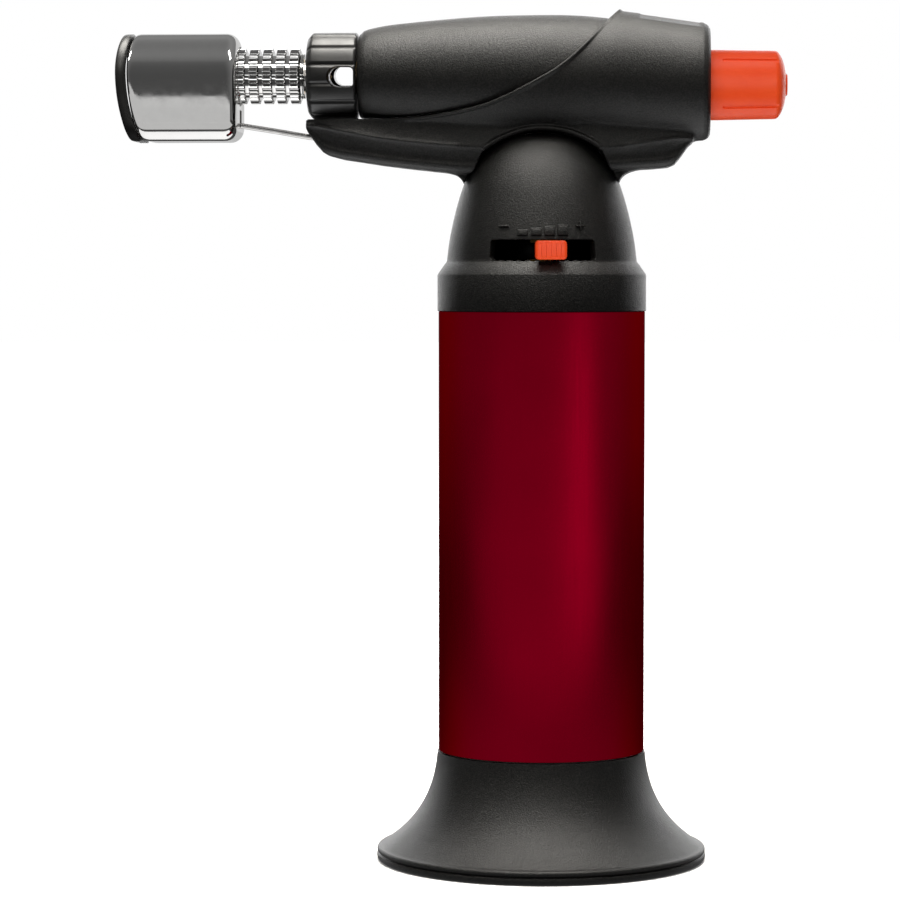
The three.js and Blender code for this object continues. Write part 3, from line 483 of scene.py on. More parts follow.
# ---------------------------------------------------------------- base and sleeve
def base_skirt():
    lip = 1.1  # height of the lip's widest line
    outside = bezier([(COLLAR_RADIUS, SKIRT_TOP), (23.6, 14.5), (27.6, 8.2), (35.3, 3.1)], 48)
    outside += arc(35.5, 2.42, 0.72, 62, -40, 8)
    crease = [(35.86, 1.86), (35.74, 1.72), (35.82, 1.6)]
    foot = arc(35.1, lip, 1.2, 18, -90, 9) + [(35.1, 0.0), (33.4, 0.0), (33.2, 0.15)]
    flare = bezier([(23.1, 20.0), (24.0, 13.5), (27.8, 7.6), (34.6, 3.2)], 24)
    wall = 2.0
    inside = [(r - wall, z) for r, z in reversed(flare)]
    web = [(21.2, 19.6), (20.8, 19.4), (7.6, 19.4), (7.5, 19.5)]
    web += [(7.5, 22.1), (7.6, 22.2), (21.7, 22.2), (21.7, 23.8)]
    edge = [(21.9, SKIRT_TOP), (COLLAR_RADIUS - 0.15, SKIRT_TOP)]
    made = turned("skirt_shell", outside + crease + foot + inside + web + edge)
    put(shade(made, 50), "black_textured_plastic", ROOT, "base_skirt")


def tank_sleeve():
    inner = SLEEVE_RADIUS - 0.9
    edge = 0.18
    profile = [
        (inner, SLEEVE_LOW),
        (SLEEVE_RADIUS - edge, SLEEVE_LOW),
        (SLEEVE_RADIUS - edge * 0.3, SLEEVE_LOW + edge * 0.3),
        (SLEEVE_RADIUS, SLEEVE_LOW + edge),
        (SLEEVE_RADIUS, SLEEVE_HIGH - edge),
        (SLEEVE_RADIUS - edge * 0.3, SLEEVE_HIGH - edge * 0.3),
        (SLEEVE_RADIUS - edge, SLEEVE_HIGH),
        (inner, SLEEVE_HIGH),
    ]
    put(shade(turned("sleeve_tube", profile, sides=256), 30), "red_anodised_aluminium", ROOT, "tank_sleeve")


# ---------------------------------------------------------------- neck
# The dome's outline, as (radius, height) from the lever's slot up to the valve stem's hole.
DOME = [(20.85, 131.9), (20.2, 136.8), (18.9, 142.8), (17.2, 148.4)]
DOME += [(15.2, 152.6), (12.6, 156.2), (9.4, 158.7), (2.3, 160.2)]
NECK_WALL = 1.8


def dome_radius(z):
    return sample([(b, a) for a, b in spline(DOME, 12)], z)


def radial_prism(name, outline, inner, outer):
    """An outline of (degrees from the front, height), pushed outwards from the tank axis."""
    rings = []
    for radius in (inner, outer):
        ring = []
        for degrees, z in outline:
            angle = math.radians(degrees - 90)
            ring.append((radius * math.cos(angle), radius * math.sin(angle), z))
        rings.append(ring)
    return loft(name, rings)


SLOT_TURN = 2.7  # degrees from the front round to the right, to the slot's middle


def slot_outline():
    """The lever's slot: a straight top, and a lower edge scalloped into click stops."""
    half, low, high, corner = 33.4, 132.1, 136.5, 1.2
    stops = 11
    outline = []
    steps = 88
    for i in range(steps + 1):
        degrees = -half + corner + (2 * half - 2 * corner) * i / steps
        dip = 0.32 * abs(math.sin(math.pi * stops * i / steps))
        outline.append((degrees, low - dip))
    outline += [(half, low + 0.5), (half, high - 0.5), (half - corner, high)]
    outline += [(degrees, high) for degrees in range(28, -29, -4)]
    outline += [(-half + corner, high), (-half, high - 0.5), (-half, low + 0.5)]
    return [(degrees + SLOT_TURN, z) for degrees, z in outline]


def neck_cover():
    top = 128.8
    low = SLEEVE_HIGH + 0.02
    outside = [(COLLAR_RADIUS - 0.12, low), (COLLAR_RADIUS, low + 0.12), (COLLAR_RADIUS, top)]
    outside += [(COLLAR_RADIUS - 0.12, top + 0.35), (21.25, 131.35), (20.98, 131.65)]
    outside += spline(DOME, 10)
    inside = [(r - NECK_WALL, z - NECK_WALL * 0.6) for r, z in reversed(spline(DOME, 5)) if r > 4.5]
    inside = [(2.3, DOME[-1][1] - NECK_WALL)] + inside + [(19.2, 130.2), (21.1, 128.0), (21.1, low)]
    made = turned("neck_shell", outside + inside)
    boolean(made, radial_prism("slot_tool", slot_outline(), 14, 27))
    notch = [(0.8, 131.0), (8.0, 131.0), (8.6, 131.3), (8.6, 133.5), (0.2, 133.5), (0.2, 131.3)]
    boolean(made, radial_prism("notch_tool", notch, 20.3, 27))
    channel = [(-14, 156.2), (24, 156.2), (24, 166), (-14, 166)]
    boolean(made, prism("channel_tool", channel, -3.6, 3.6))
    put(shade(bevel(made, 0.14, 2, 40), 45), "black_textured_plastic", ROOT, "neck_cover")


def raised_mark(name, strokes, height=0.4):
    """Raised strokes on the dome: each is (from degrees, to degrees, low z, high z)."""
    vertices, faces = [], []
    for start, end, low, high in strokes:
        base = len(vertices)
        steps = 6
        for lift in (-0.4, height):
            for i in range(steps + 1):
                shrink = 0.0 if lift < 0 else 0.25
                degrees = start + shrink + (end - start - 2 * shrink) * i / steps
                angle = math.radians(degrees - 90)
                for z in (low + shrink * 0.4, high - shrink * 0.4):
                    radius = dome_radius(z) + lift
                    vertices.append((radius * math.cos(angle), radius * math.sin(angle), z))
        layer = 2 * (steps + 1)
        for i in range(steps):
            a = base + 2 * i
            faces.append((a, a + 1, a + 3, a + 2))
            faces.append((a + layer, a + layer + 2, a + layer + 3, a + layer + 1))
            faces.append((a, a + 2, a + layer + 2, a + layer))
            faces.append((a + 1, a + layer + 1, a + layer + 3, a + 3))
        last = base + 2 * steps
        faces.append((base, base + layer, base + layer + 1, base + 1))
        faces.append((last, last + 1, last + layer + 1, last + layer))
    return make_object(name, vertices, faces)


def flame_marks():
    """A minus sign, four rising bars and a plus sign above the slot."""
    bars = [(-13.2 + 8.3 * i, -6.3 + 8.3 * i, 137.3, 138.7 + 0.37 * i) for i in range(4)]
    minus = [(-25.8, -18.6, 139.1, 139.65)]
    plus = [(23.6, 29.6, 139.15, 139.7), (25.9, 27.3, 138.35, 140.5)]
    for name, strokes in (("level_bars", bars), ("less_mark", minus), ("more_mark", plus)):
        made = bevel(raised_mark(name, strokes), 0.12, 2, 50)
        made.data.materials.append(MATERIALS["black_textured_plastic"])
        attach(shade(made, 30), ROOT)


TAB_TURN = math.radians(4.4 + SLOT_TURN)  # the lever at rest, a little past the slot's middle


def turn_lever(made):
    about = Matrix.Translation(UPRIGHT * MM)
    made.data.transform(about @ Matrix.Rotation(TAB_TURN, 4, "Z") @ about.inverted())
    return made


def flame_lever():
    hub = turned("lever_hub", [(6.3, 132.4), (9.0, 132.4), (9.0, 135.9), (6.3, 135.9)], sides=64)
    arm = prism("lever_arm", [(-2.4, -21.3), (2.4, -21.3), (2.4, -8.0), (-2.4, -8.0)], 132.6, 135.7, "XY")
    boolean(hub, arm, "UNION")
    put(shade(bevel(turn_lever(hub), 0.12, 2, 50), 35), "black_satin_plastic", "flame_lever", "flame_lever")


def lever_tab():
    """The orange finger tab: a pillow with fine grip lines on its face."""
    half, face, back = 3.4, -23.7, -21.25
    outline = [(-half, face), (half, face), (half, back), (-half, back)]
    tab = prism("tab_pad", outline, 132.15, 136.25, "XY")
    bevel(tab, 0.8, 6)
    groove_pitch = 1.05
    for i in range(-2, 3):
        across = i * groove_pitch
        groove = [(across - 0.16, -24.2), (across + 0.16, -24.2), (across, -23.55)]
        boolean(tab, prism("tab_groove", groove, 130, 138, "XY"))
    put(shade(turn_lever(tab), 35), "orange_plastic", "flame_lever", "lever_tab")


# ---------------------------------------------------------------- head
# The nose barrel's outline, as (place along the burner axis, radius).
BARREL = [(-40.0, 9.4), (-37.5, 10.35), (-31, 11.4), (-14, 12.85)]
BARREL += [(0, BARREL_RADIUS), (9, 12.95), (18, 12.0)]
# The S-shaped edge between the nose barrel and the housing, seen from the side.
SEAM = [(-42, 163.2), (-33, 163.05), (-22.6, 163.9), (-11.4, 166.2)]
SEAM += [(-0.3, 171.3), (7.2, 176.4), (17.2, 187.0)]
BARREL_FRONT = BARREL[0][0]
SHELL_STEP = 0.8
WALL = 1.8


def barrel_radius(x):
    return sample(spline(BARREL, 12), x)


def housing_seam(x, z):
    """The housing's own edge, just below the barrel's, and opening a little towards the front."""
    ahead = min(max((-12 - x) / 25, 0), 1)
    return z - 0.1 - 0.1 * ahead


def above_seam():
    line = [(x, z + 0.15) for x, z in spline(SEAM, 10)]
    return prism("nose_tool", line + [(17.2, 205), (-42, 205)], -22, 22)


def below_seam():
    line = [(x, housing_seam(x, z)) for x, z in spline(SEAM, 10)]
    return prism("seam_tool", line + [(60, 187), (60, 135), (-60, 135), (-60, line[0][1])], -22, 22)


def round_ring(x, centre_z, radius, sides=96):
    angles = [2 * math.pi * i / sides for i in range(sides)]
    return [(x, radius * math.cos(a), centre_z + radius * math.sin(a)) for a in angles]


def head_cavity():
    stations = [(x, BURNER_Z, barrel_radius(x) - WALL) for x in (-37.8, -34, -30, -24, -18, -8, 2, 12)]
    stations += [(18, 172.5, 11.9), (26, 172.1, 11.6), (HEAD_REAR - WALL, 171.3, 10.8)]
    rings = [round_ring(*station, 48) for station in stations]
    return loft("cavity_tool", rings)


def nose_barrel():
    front = [(0, BARREL_FRONT), (8.6, BARREL_FRONT)]
    front += [(9.05, BARREL_FRONT + 0.12), (9.35, BARREL_FRONT + 0.5)]
    outside = [(barrel_radius(x), x) for x in [BARREL_FRONT + 1.0 + 1.0 * i for i in range(58)]]
    made = turned("nose_shell", front + outside + [(0, outside[-1][1])], "X", BURNER)
    boolean(made, above_seam(), "INTERSECT")
    boolean(made, head_cavity())
    boolean(made, turned("bore_tool", [(0, -45), (4.5, -45), (4.5, 0), (0, 0)], "X", BURNER, 64))
    put(shade(bevel(made, 0.16, 2, 40), 40), "black_textured_plastic", ROOT, "nose_barrel")


# Keel stations: x, bottom z, ridge z, half width at the ridge, top z, half width at the top.
KEEL = [
    (-51.7, 161.0, 161.9, 3.2, 162.7, 3.0),
    (-51.2, 160.0, 161.9, 3.9, 163.0, 3.5),
    (-49.4, 157.4, 161.6, 4.9, 163.3, 4.3),
    (-47.9, 155.75, 161.3, 5.5, 163.5, 4.9),
    (-46.6, 155.0, 161.0, 5.9, 163.6, 5.3),
    (-43.5, 154.2, 160.4, 6.6, 163.7, 5.9),
    (-40.0, 153.7, 159.7, 7.2, 163.8, 6.6),
    (-35.5, 153.0, 158.8, 7.8, 164.0, 7.4),
    (-30.0, 152.3, 158.1, 8.2, 164.4, 8.0),
    (-24.5, 151.7, 157.5, 8.5, 164.8, 8.4),
    (-18.0, 151.1, 157.0, 8.8, 165.0, 8.6),
    (-8.0, 150.6, 156.5, 9.3, 165.0, 8.8),
    (8.0, 151.0, 156.3, 9.3, 165.0, 8.8),
    (18.0, 151.8, 156.9, 8.8, 165.0, 8.5),
    (24.0, 152.1, 157.8, 8.3, 164.5, 8.0),
    (27.4, 152.4, 158.3, 8.0, 164.0, 7.6),
    (28.9, 153.0, 158.5, 7.8, 164.0, 7.4),
    (30.2, 154.5, 158.55, 7.6, 164.0, 7.2),
    (31.8, 156.8, 158.6, 7.3, 164.0, 7.0),
    (33.0, 157.9, 158.6, 7.0, 164.0, 6.8),
]


def keel_ring(station):
    """A hull section: a rounded bottom edge, a hollowed side panel, a crisp ridge and a flank above."""
    x, bottom, ridge, wide, top, upper = station
    depth = ridge - bottom
    edge = min(2.0, depth * 0.45)
    low = wide - min(1.0, depth * 0.3)
    half = [(0.0, bottom), ((low - edge) * 0.6, bottom + 0.02)]
    turns = (0.0, 0.45, 0.9, 1.35)
    half += [(low - edge * (1 - math.sin(a)), bottom + edge * (1 - math.cos(a))) for a in turns]
    panel = bottom + edge * 1.15
    half += [(low - 0.35, panel + 0.25), (low - 0.35 + (wide - low) * 0.5, (panel + ridge) / 2)]
    half += [(wide - 0.5, ridge - 0.55), (wide - 0.08, ridge - 0.3), (wide, ridge)]
    for share in (0.12, 0.35, 0.6, 0.8, 1.0):
        hollow = 0.5 * math.sin(math.pi * share)
        half.append((wide + (upper - wide) * share - hollow, ridge + (top - ridge) * share))
    left = [(x, -y, z) for y, z in half]
    right = [(x, y, z) for y, z in reversed(half[1:])]
    return left + right


def keel_leg(side):
    """A small fillet that carries the keel's bottom edge down along the dome."""
    if side < 0:
        curve = bezier([(-24, 151.6), (-18.8, 151.3), (-17.2, 150.4), (-16.75, 148.2)], 12)
        return prism("leg_part", [(-24, 153.5), *curve, (-12, 148.2), (-12, 153.5)], -5, 5)
    curve = bezier([(26, 152.35), (18.9, 152.1), (17.3, 151.0), (16.75, 148.6)], 12)
    return prism("leg_part", [(26, 154), *curve, (12, 148.6), (12, 154)], -5, 5)


def ridge_beads(side):
    """Fine raised lines: one along the keel's ridge and one over the arch."""
    ridge = [Vector((x, side * (wide - 0.1), ridge_z)) for x, _, ridge_z, wide, _, _ in KEEL]
    front = [p for p in ridge if -50 < p.x < -14]
    rear = [p for p in ridge if 14 < p.x < 32]
    arch = [Vector((x, side * 9.0, z + 0.5)) for x, z in ARCH if z > 155]
    lines = ((front, 0.36), (rear, 0.36), (arch, 0.6))
    return [tube("ridge_part", path, radius, 10) for path, radius in lines]


ARCH = [(-20.5, 136), (-15.6, 149.0), (-12.6, 155.7)]
ARCH += bezier([(-12.6, 155.7), (-7.5, 159.2), (-3.4, 160.2), (0.4, 160.2)], 12)[1:]
ARCH += bezier([(0.4, 160.2), (4.4, 160.2), (8.6, 159.2), (13.2, 155.9)], 12)[1:]
ARCH += [(16.4, 149.0), (21, 136)]


def arch_tool(side):
    web = 5.6
    return prism("arch_tool", ARCH, *((-22, -web) if side < 0 else (web, 22)))


def facet_tool(side):
    """A flat pad cut on each side of the crest of the rear cover."""
    tilt = math.radians(12)
    start, end, slope, offset = 19.2, 33.4, 0.144, 12.5
    normal = Vector((slope, side * math.sin(tilt), math.cos(tilt))).normalized()
    across = Vector((0, math.cos(tilt), -side * math.sin(tilt))).normalized()
    along = across.cross(normal) * side
    middle = Vector(((start + end) / 2, 0, 172.2)) + normal * offset
    half = (end - start) / 2
    outline = [(-half + 0.8, -5), (half - 0.4, -5), (half, 6), (-half, 6)]
    rings = []
    for lift in (0, 6):
        rings.append([tuple(middle + along * a + across * (side * b) + normal * lift) for a, b in outline])
    return loft("facet_tool", rings)


SCREW_HEAD = 1.4
REAR_RADIUS = 13.92  # of the housing's rear cover where it is widest
REAR_LIFT = 0.12  # of that cover's axis above the burner's


def screw_axis(node):
    place = centre(node) / MM
    return place.x - TANK_X, place.z


def housing_body():
    """The housing's outside as one solid, before it is split."""
    places = (-38.5, -36, -33, -28, -22, -16, -9, -2, 5, 11)
    stations = [(x, BURNER_Z, barrel_radius(x) + SHELL_STEP) for x in places]
    stations += [(17, 172.62, REAR_RADIUS), (21.5, 172.25, 13.7), (26, 171.85, 13.5), (30.5, 171.45, 13.25)]
    stations += [(34.0, 171.15, 13.0), (35.3, 171.05, 12.8), (36.2, 171.0, 12.3), (36.7, 170.97, 11.5)]
    stations += [(HEAD_REAR, 170.95, 10.6)]
    body = loft("housing_body", [round_ring(*station) for station in stations])
    upper = copy_of(body, "upper_part")
    keel = loft("keel_part", [keel_ring(station) for station in KEEL])
    boolean(body, keel, "UNION", keep=True)
    remesh(body, 0.5, smoothing=14, factor=0.5)
    boolean(body, upper, "UNION")
    boolean(body, keel, "UNION")
    for side in (-1, 1):
        boolean(body, keel_leg(side), "UNION")
    boolean(body, below_seam(), "INTERSECT")
    return body


def seam_bead():
    """The raised rim that runs along the housing's edge, over the crest and down the far side."""
    near = []
    for x, z in spline(SEAM, 24):
        blend = min(max((x - 11) / 6, 0), 1)
        reach = (barrel_radius(x) + SHELL_STEP) * (1 - blend) + REAR_RADIUS * blend + 0.02
        middle = BURNER_Z + REAR_LIFT * blend
        height = housing_seam(x, z) - 0.32 - middle
        if x > -38.4 and abs(height) < reach:
            near.append(Vector((x + 0.12 * blend, -math.sqrt(reach**2 - height**2), height + middle)))
    near = [point for i, point in enumerate(near) if i % 3 == 0 or i == len(near) - 1]
    top = Vector((near[-1].x + 0.12, 0, BURNER_Z + REAR_LIFT + REAR_RADIUS))
    far = [Vector((p.x, -p.y, p.z)) for p in reversed(near)]
    return tube("bead_part", [*near, top, *far], 0.42, 10)


def screw_wells(body):
    for node in SCREW_NODES:
        x, z = screw_axis(node)
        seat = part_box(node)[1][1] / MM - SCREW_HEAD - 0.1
        well = [(0, seat), (2.0, seat), (2.0, 18), (0, 18)]
        boolean(body, turned("well_tool", well, "Y", Vector((TANK_X + x, 0, z)), 40))


def housing_halves():
    body = housing_body()
    boolean(body, turned("ring_room", [(0, -60), (9.9, -60), (9.9, -39.9), (0, -39.9)], "X", BURNER, 96))
    boolean(body, head_cavity())
    for side in (-1, 1):
        boolean(body, arch_tool(side))
        boolean(body, facet_tool(side))
    dome = [(0, 120), (21.15, 120)] + [(r + 0.25, z + 0.25) for r, z in spline(DOME, 6)] + [(0, 160.5)]
    boolean(body, turned("dome_tool", dome, sides=96))
    boolean(body, turned("button_tool", [(0, 30), (7.95, 30), (7.95, 40), (0, 40)], "X", IGNITER, 96))
    boolean(body, prism("lever_room", [(-14, 158.8), (19, 158.8), (19, 168), (-14, 168)], -3.6, 3.6))
    finger_room = [(7.6, 156.2), (30.4, 156.2), (33.4, 159.6), (35.0, 159.6), (35.0, 168), (7.6, 168)]
    boolean(body, prism("finger_room", finger_room, -2.4, 2.4))
    boolean(body, prism("rod_room", [(-54, 157.9), (-37, 157.9), (-37, 160.7), (-54, 160.7)], -1.0, 1.0))
    screw_wells(body)
    absorb(body, seam_bead(), *ridge_beads(-1), *ridge_beads(1))
    remesh(body, 0.24, smoothing=2, factor=0.5)
    thin_out(body, 0.3)
    far = copy_of(body, "housing_shell_right")
    body.name = "housing_shell_left"
    gap = 0.06
    side_view = [(-70, 130), (70, 130), (70, 205), (-70, 205)]
    boolean(body, prism("half_tool", side_view, -22, -gap), "INTERSECT")
    boolean(far, prism("half_tool", side_view, gap, 22), "INTERSECT")
    put(shade(body, 50), "black_textured_plastic", ROOT, "housing_left")
    put(shade(far, 50), "black_textured_plastic", ROOT, "housing_right")


def housing_screws():
    for node in SCREW_NODES:
        x, z = screw_axis(node)
        place = Vector((TANK_X + x, 0, z))
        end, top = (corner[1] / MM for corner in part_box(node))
        seat = top - SCREW_HEAD
        profile = [(0, end), (0.4, end), (0.88, end + 0.9), (0.88, seat), (1.55, seat), (1.7, seat + 0.3)]
        profile += [(1.62, seat + 0.9), (1.3, seat + 1.25), (0.7, seat + 1.38), (0, top)]
        made = turned("screw_" + node[-1], profile, "Y", place, 40)
        for long, wide in ((1.1, 0.24), (0.24, 1.1)):
            cross = [(-long, -wide), (long, -wide), (long, wide), (-long, wide)]
            boolean(made, prism("cross_tool", cross, seat + 0.6, seat + 3, "XZ", place))
        put(shade(made, 35), "bright_steel", ROOT, node)


# ---------------------------------------------------------------- burner
MOUTH_RADIUS = 40.0
MOUTH_CENTRE_X = RIM_FRONT + MOUTH_RADIUS
MOUTH_Z = 0.8


def mouth_x(z, depth):
    """Where the curved mouth is at a height, at a depth behind its front."""
    radius = MOUTH_RADIUS - depth
    return MOUTH_CENTRE_X - math.sqrt(radius**2 - (z - MOUTH_Z) ** 2)


def arch_section(inset, corner=3.5, fine=36):
    """The shield's section in Y and Z: a half circle over straight sides with rounded lower corners."""
    half = SHIELD_HALF - inset
    bottom = SHIELD_BOTTOM + inset
    corner = max(corner - inset, 0.5)
    points = arc(0, 0, half, 0, 180, fine)
    side = 10
    foot = bottom + corner
    points += [(-half, foot * i / side) for i in range(1, side)]
    points += arc(-half + corner, foot, corner, 180, 270, 8)
    width = half - corner
    points += [(-width + 2 * width * i / side, bottom) for i in range(1, side)]
    points += arc(half - corner, foot, corner, 270, 360, 8)
    points += [(half, foot * (side - i) / side) for i in range(1, side)]
    return [(y * (1 - 0.06 * (min(z, 0) / SHIELD_BOTTOM) ** 2), z) for y, z in points]


def shield_row(inset, place):
    """The section, drawn in by inset, with each point's x given by place(z)."""
    return [(place(z), y, z) for y, z in arch_section(inset)]


def shield_hole_row(section, x, radius):
    """A round row whose points face the section's, for the hole in the shield's rear cap."""
    angles = [math.atan2(z, y) for y, z in section]
    return [(x, radius * math.cos(a), radius * math.sin(a)) for a in angles]


def nozzle_shield():
    wall, rim, round_off = 0.8, 2.5, 2.9
    rows = []
    lip = [(wall + 0.4, rim + 0.8), (wall + 0.35, rim + 0.1), (wall, rim), (0.62, rim + 0.04)]
    lip += [(0.34, rim + 0.22), (0.14, rim + 0.55), (0.03, rim + 1.0), (0, rim + 1.5)]
    for inset, depth in lip:
        rows.append(shield_row(inset, lambda z, d=depth: mouth_x(z, d)))
    shoulder = SHIELD_REAR - round_off
    for share in (0.12, 0.3, 0.5, 0.7, 0.88):
        rows.append(shield_row(0, lambda z, s=share: mouth_x(z, rim) * (1 - s) + shoulder * s))
    for i in range(9):
        angle = math.radians(90 * i / 8)
        inset, back = round_off * (1 - math.cos(angle)), round_off * (1 - math.sin(angle))
        rows.append(shield_row(inset, lambda z, b=back: SHIELD_REAR - b))
    hole = 6.5
    section = arch_section(round_off)
    for back, radius in ((0, hole + 0.2), (0.2, hole), (wall, hole)):
        rows.append(shield_hole_row(section, SHIELD_REAR - back, radius))
    rows.append(shield_row(round_off, lambda z: SHIELD_REAR - wall))
    for i in range(1, 5):
        angle = math.radians(90 - 90 * i / 4)
        inner = round_off - wall
        inset, back = wall + inner * (1 - math.cos(angle)), wall + inner * (1 - math.sin(angle))
        rows.append(shield_row(inset, lambda z, b=back: SHIELD_REAR - b))
    rows.append(shield_row(wall, lambda z: mouth_x(z, rim) * 0.5 + SHIELD_REAR * 0.5))
    made = loft("shield_shell", rows, BURNER, closed=True)
    slot = [(-1.6, -11.2), (1.6, -11.2), (1.6, -7.4), (-1.6, -7.4)]
    boolean(made, prism("slot_tool", slot, -72, -60, "YZ", BURNER))
    put(shade(made, 50), "chrome_plate", ROOT, "nozzle_shield")


def shield_front_ring():
    wall, deep = 1.7, 2.2
    path = [(wall, deep), (0.25, deep), (0.0, deep - 0.25), (0.0, 0.5), (0.12, 0.2), (0.4, 0.03), (0.8, 0.0)]
    path += [(wall - 0.4, 0.05), (wall - 0.1, 0.3), (wall, 0.7)]
    rows = [shield_row(inset, lambda z, d=depth: mouth_x(z, d)) for inset, depth in path]
    made = loft("shield_rim", rows, BURNER, closed=True)
    put(shade(made, 50), "black_satin_plastic", ROOT, "shield_front_ring")


def toothed_ring(x, radius, depth, teeth=40, fine=10):
    """A ring of fine rounded teeth."""
    ring = []
    for i in range(teeth * fine):
        angle = 2 * math.pi * i / (teeth * fine)
        wave = math.cos(2 * math.pi * i / fine)
        r = radius - depth * (0.5 - 0.5 * max(-1.0, min(1.0, wave * 1.3)))
        ring.append((x, r * math.cos(angle), r * math.sin(angle)))
    return ring


def burner_barrel():
    bore, core, tooth = 3.55, 4.6, 0.36
    start, pitch, width, fins = -67.0, 2.97, 2.2, 5
    stations = [(-70.5, bore, 0), (-70.5, core - 0.15, 0), (-70.35, core, 0)]
    for i in range(fins):
        x = start + i * pitch
        stations += [(x, core, 0), (x, FIN_RADIUS - tooth - 0.1, 0)]
        stations += [(x + 0.12, FIN_RADIUS - 0.02, tooth), (x + 0.3, FIN_RADIUS, tooth)]
        stations += [(x + width - 0.5, FIN_RADIUS, tooth), (x + width - 0.3, FIN_RADIUS - 0.03, tooth)]
        stations += [(x + width - 0.16, FIN_RADIUS - tooth, 0), (x + width, FIN_RADIUS - 0.6, 0)]
        stations += [(x + width, core, 0)]
    stations[-1] = (start + (fins - 1) * pitch + width, bore, 0)
    rows = [toothed_ring(*station) for station in stations]
    put(shade(loft("finned_barrel", rows, BURNER, closed=True), 30), "chrome_plate", ROOT, "burner_barrel")


def barrel_washers():
    for node, name in (("barrel_washer_1", "washer_front"), ("barrel_washer_2", "washer_rear")):
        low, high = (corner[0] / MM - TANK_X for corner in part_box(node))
        profile = [(3.55, low), (4.75, low), (4.9, low + 0.12)]
        profile += [(4.9, high - 0.12), (4.75, high), (3.55, high)]
        put(shade(turned(name, profile, "X", BURNER), 30), "chrome_plate", ROOT, node)


AIR_HOLE_X = -43.5
HOLE_DROP = 0.75  # the holes' height off the axis at the ring's face: the ring is turned a little
HOLE_HEIGHT = 4.3


def air_hole(grow):
    """The air hole from the side: round towards the front, square-shouldered behind."""
    half_length, corner = 2.7, 0.9
    tall = HOLE_HEIGHT / 2 + grow
    left, right = AIR_HOLE_X - half_length - grow, AIR_HOLE_X + half_length + grow * 0.3
    nose = left + tall
    outline = arc(right - corner, tall - corner, corner, 0, 90, 5) + arc(nose, 0, tall, 90, 270, 20)
    return outline + arc(right - corner, -tall + corner, corner, 270, 360, 5)


def ribbed_ring(x, radius, depth, ribs=14, fine=20):
    """A ring of broad lands with narrow rounded grooves between, one groove facing the front."""
    ring = []
    for i in range(ribs * fine):
        angle = 2 * math.pi * i / (ribs * fine) + math.pi
        from_groove = min(i % fine, fine - i % fine) / fine
        groove = max(0.0, 1 - (from_groove / 0.13) ** 2)
        r = radius - depth * groove
        ring.append((x, r * math.sin(angle), r * math.cos(angle)))
    return ring


def air_ring():
    bore, chamfer, groove = 4.4, 1.2, 0.38
    front, rear = RING_FRONT + 0.7, RING_REAR
    middle = [front + (rear - front) * share for share in (0.3, 0.5, 0.7, 0.86)]
    stations = [(front, bore, 0), (front, RING_RADIUS - chamfer - 0.3, 0)]
    stations += [(front + 0.05, RING_RADIUS - chamfer, 0)]
    stations += [(front + chamfer * 0.5, RING_RADIUS - chamfer * 0.42, groove * 0.4)]
    stations += [(front + chamfer * 0.9, RING_RADIUS - 0.1, groove)]
    stations += [(front + chamfer + 0.2, RING_RADIUS, groove)]
    stations += [(x, RING_RADIUS, groove) for x in middle]
    stations += [(rear - 0.55, RING_RADIUS, groove), (rear - 0.3, RING_RADIUS - 0.06, groove * 0.8)]
    stations += [(rear - 0.08, RING_RADIUS - 0.3, groove * 0.3)]
    stations += [(rear, RING_RADIUS - 0.6, 0), (rear, bore, 0)]
    rows = [ribbed_ring(*station) for station in stations]
    made = loft("air_collar", rows, BURNER, closed=True)
    through, sink = ((3, 0.0), (12, 0.0)), ((8.6, 0.0), (9.9, 0.6))
    for side in (-1, 1):
        drop = side * HOLE_DROP
        for name, depths in (("hole_tool", through), ("sink_tool", sink)):
            rings = [[(x, side * y, z + drop * y / 9.7) for x, z in air_hole(grow)] for y, grow in depths]
            boolean(made, loft(name, rings, BURNER))
    put(shade(made, 40), "black_satin_plastic", "air_ring", "air_ring")


# The rod's route, as (along, height): its bent tip is in the shield, and its root is in the keel.
ROD = [(-89.3, 168.2), (-88.8, 166.3), (-86.5, 165.0), (-78, 163.6), (-66, 161.7)]
ROD += [(-58, 160.4), (-51, 159.2), (-47, 158.8), (-41, 158.8)]


def electrode_rod():
    path = [Vector((x, 0, z)) for x, z in spline(ROD, 10)]
    put(shade(tube("spark_rod", path, 0.6), 60), "bright_steel", ROOT, "electrode_rod")


